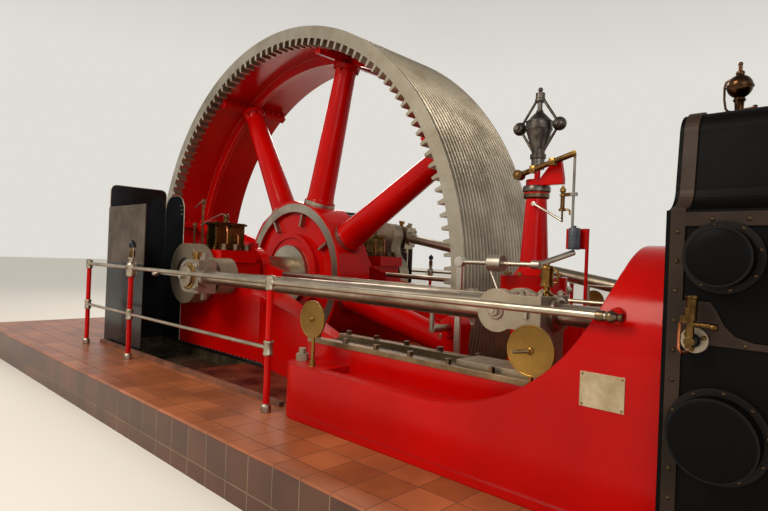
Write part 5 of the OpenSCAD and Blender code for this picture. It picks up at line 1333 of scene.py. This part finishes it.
# %% [markdown]
# ## The governor's swinging arms and the plate's screws
# Each ball is pinned to its arms with a flat boss, and bands of turned beading mark the weight. The
# head turns, so these ride on it. The blank plate is held by four small screws.

# %% Head beading and plate screws
WEIGHT_BEADS_H = (2.12, 2.176)
WEIGHT_R = 0.0965
BALL_OUT, BALL_H = 0.16, 2.145


def head_beads(bm):
    bead = ((-0.002, -0.006), (0.002, -0.003), (0.002, 0.003), (-0.002, 0.006))
    for h in WEIGHT_BEADS_H:
        turned(bm, [(WEIGHT_R + dr, h + dh) for dr, dh in bead], AXIS, UP, 40)
    upper_ring = [(0.018, 2.25), (0.026, 2.252), (0.026, 2.262), (0.018, 2.266)]
    top_ring = [(0.035, 2.326), (0.039, 2.33), (0.039, 2.345), (0.035, 2.35)]
    low_ring = [(0.047, 1.90), (0.058, 1.905), (0.058, 1.935), (0.047, 1.94)]
    for profile in (upper_ring, top_ring, low_ring):
        turned(bm, profile, AXIS, UP, 28)
    boss = [(0.0, 0.056), (0.018, 0.056), (0.022, 0.048), (0.022, 0.040)]
    for s in (-1, 1):
        for dy in (-1, 1):
            turned(bm, boss, gov(s * BALL_OUT, 0, BALL_H), (0, dy, 0), 20)


def plate_screws(bm):
    for x in (4.915, 5.085):
        for h in (0.535, 0.664):
            screw(bm, (x, 2.364, h), OUT, 0.006)


near_only("governor_beads", head_beads, iron_bronzed, "governor")
near_only("plate_screws", plate_screws, brass)

# %% [markdown]
# ## Camera at the photograph's place
# The camera's place and angles were solved from points in the photograph whose real positions are
# known. It stands a little over a metre above the tiles. The matrix is written from the three
# directions that the camera sees: right, up and back.

# %% Camera
YAW, PITCH, ROLL = 0.7622, -0.0032, 0.0401
FOCAL_PX, PICTURE_PX, SENSOR_MM = 556.0, 768, 36
EYE = Vector((5.94, -4.707, TOP + 1.13))
ahead = Vector((-math.sin(YAW) * math.cos(PITCH), math.cos(YAW) * math.cos(PITCH), -math.sin(PITCH)))
level = ahead.cross(Vector(UP)).normalized()
upright = level.cross(ahead)
right = math.cos(ROLL) * level + math.sin(ROLL) * upright
up = -math.sin(ROLL) * level + math.cos(ROLL) * upright
view_matrix = Matrix((right, up, -ahead)).transposed().to_4x4()
view_matrix.translation = EYE
camera_data = bpy.data.cameras.new("camera")
camera_data.sensor_width = SENSOR_MM
camera_data.lens = FOCAL_PX / PICTURE_PX * SENSOR_MM
camera = bpy.data.objects.new("camera", camera_data)
bpy.context.scene.collection.objects.link(camera)
camera.matrix_world = view_matrix
bpy.context.scene.camera = camera
print("camera lens", round(camera_data.lens, 2), "mm")

# %% [markdown]
# ## A plain floor
# The floor is plain and pale, and its paint is matt. The foundation goes down through it, so it is
# laid as four sheets round an opening that is 2 mm wider than the foundation.

# %% Floor with an opening for the foundation
FLOOR_H = TOP - 0.334
REACH = 60.0
JOINT = 0.002
x_low, y_low = cad_low.x - JOINT, cad_low.y - JOINT
x_high, y_high = cad_high.x + JOINT, cad_high.y + JOINT
SHEETS = [
    (-REACH, x_low, -REACH, REACH),
    (x_high, REACH, -REACH, REACH),
    (x_low, x_high, -REACH, y_low),
    (x_low, x_high, y_high, REACH),
]
floor_mesh = bmesh.new()
for x0, x1, y0, y1 in SHEETS:
    middle = Matrix.Translation(((x0 + x1) / 2, (y0 + y1) / 2, FLOOR_H))
    spread = Matrix.Diagonal((x1 - x0, y1 - y0, 1, 1))
    bmesh.ops.create_grid(floor_mesh, x_segments=1, y_segments=1, size=0.5, matrix=middle @ spread)
floor_data = bpy.data.meshes.new("floor")
floor_mesh.to_mesh(floor_data)
floor_mesh.free()
floor = bpy.data.objects.new("floor", floor_data)
bpy.context.scene.collection.objects.link(floor)
floor_material = bpy.data.materials.new("floor_plain")
floor_material.use_nodes = True
floor_shader = floor_material.node_tree.nodes["Principled BSDF"]
floor_shader.inputs["Base Color"].default_value = linear("#ddd8d0")
floor_shader.inputs["Roughness"].default_value = 0.7
floor_data.materials.append(floor_material)
print("floor at", round(FLOOR_H, 3), "with", len(floor_data.polygons), "sheets")

# %% [markdown]
# ## Studio light
# A pale sky lights the engine evenly from all sides. Where the sky is seen or mirrored, it gets
# dimmer overhead, so that the red keeps its depth and the bright rods get a dark side. Three large
# soft lamps do the modelling: a warm key lamp stands to the left of the camera, a cooler fill lamp
# stands by the casings, and the one behind separates the wheel from the background.

# %% World and lamps
SKY_PALE, SKY_DIM = "#e9e6e0", "#6f6c67"
SKY_STRENGTH = 0.92
DIM_FROM, DIM_TO = 0.3, 0.95
LAMPS = {
    "key": dict(at=(1.0, -9.0, 7.0), to=(2.0, -1.5, 0.8), size=4.0, power=640, colour="#fff3e2"),
    "fill": dict(at=(10.5, -7.0, 3.5), to=(3.0, -1.5, 0.8), size=5.0, power=170, colour="#f6f4ff"),
    "behind": dict(at=(-7.0, 6.0, 7.5), to=(0.0, 0.0, 1.5), size=5.0, power=470, colour="#fff6ea"),
}
world = bpy.data.worlds.new("studio")
bpy.context.scene.world = world
world.use_nodes = True
sky = world.node_tree
sky.nodes.clear()
path = add_node(sky, "ShaderNodeLightPath").outputs
seen = path["Is Camera Ray"]
for ray in ("Is Glossy Ray", "Is Transmission Ray"):
    seen = add_node(sky, "ShaderNodeMath", {"operation": "MAXIMUM"}, {0: seen, 1: path[ray]}).outputs[0]
view = add_node(sky, "ShaderNodeTexCoord").outputs["Generated"]
height = add_node(sky, "ShaderNodeSeparateXYZ", {}, {0: view}).outputs[2]
rise = add_node(sky, "ShaderNodeMapRange", {"From Min": DIM_FROM, "From Max": DIM_TO},
                {"Value": height}).outputs[0]
fade = add_node(sky, "ShaderNodeMath", {"operation": "MULTIPLY"}, {0: rise, 1: seen}).outputs[0]
tone = add_node(sky, "ShaderNodeMix", {"data_type": "RGBA", 6: linear(SKY_PALE), 7: linear(SKY_DIM)},
                {0: fade}).outputs[2]
background = add_node(sky, "ShaderNodeBackground", {"Strength": SKY_STRENGTH}, {"Color": tone})
add_node(sky, "ShaderNodeOutputWorld", {}, {"Surface": background.outputs[0]})
for name, lamp in LAMPS.items():
    data = bpy.data.lights.new(name, "AREA")
    data.shape = "SQUARE"
    data.size = lamp["size"]
    data.energy = lamp["power"]
    data.color = linear(lamp["colour"])[:3]
    item = bpy.data.objects.new(name, data)
    bpy.context.scene.collection.objects.link(item)
    at, to = Vector(lamp["at"]), Vector(lamp["to"])
    item.matrix_world = Matrix.Translation((0, 0, TOP)) @ seat(at, at - to)
bpy.context.scene.view_settings.view_transform = "Standard"
print("lamps", ", ".join(LAMPS))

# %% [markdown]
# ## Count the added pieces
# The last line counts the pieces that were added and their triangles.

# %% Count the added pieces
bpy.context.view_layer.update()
triangles = sum(len(p.vertices) - 2 for o in made for p in o.data.polygons)
print(len(made), "pieces added,", triangles, "triangles")
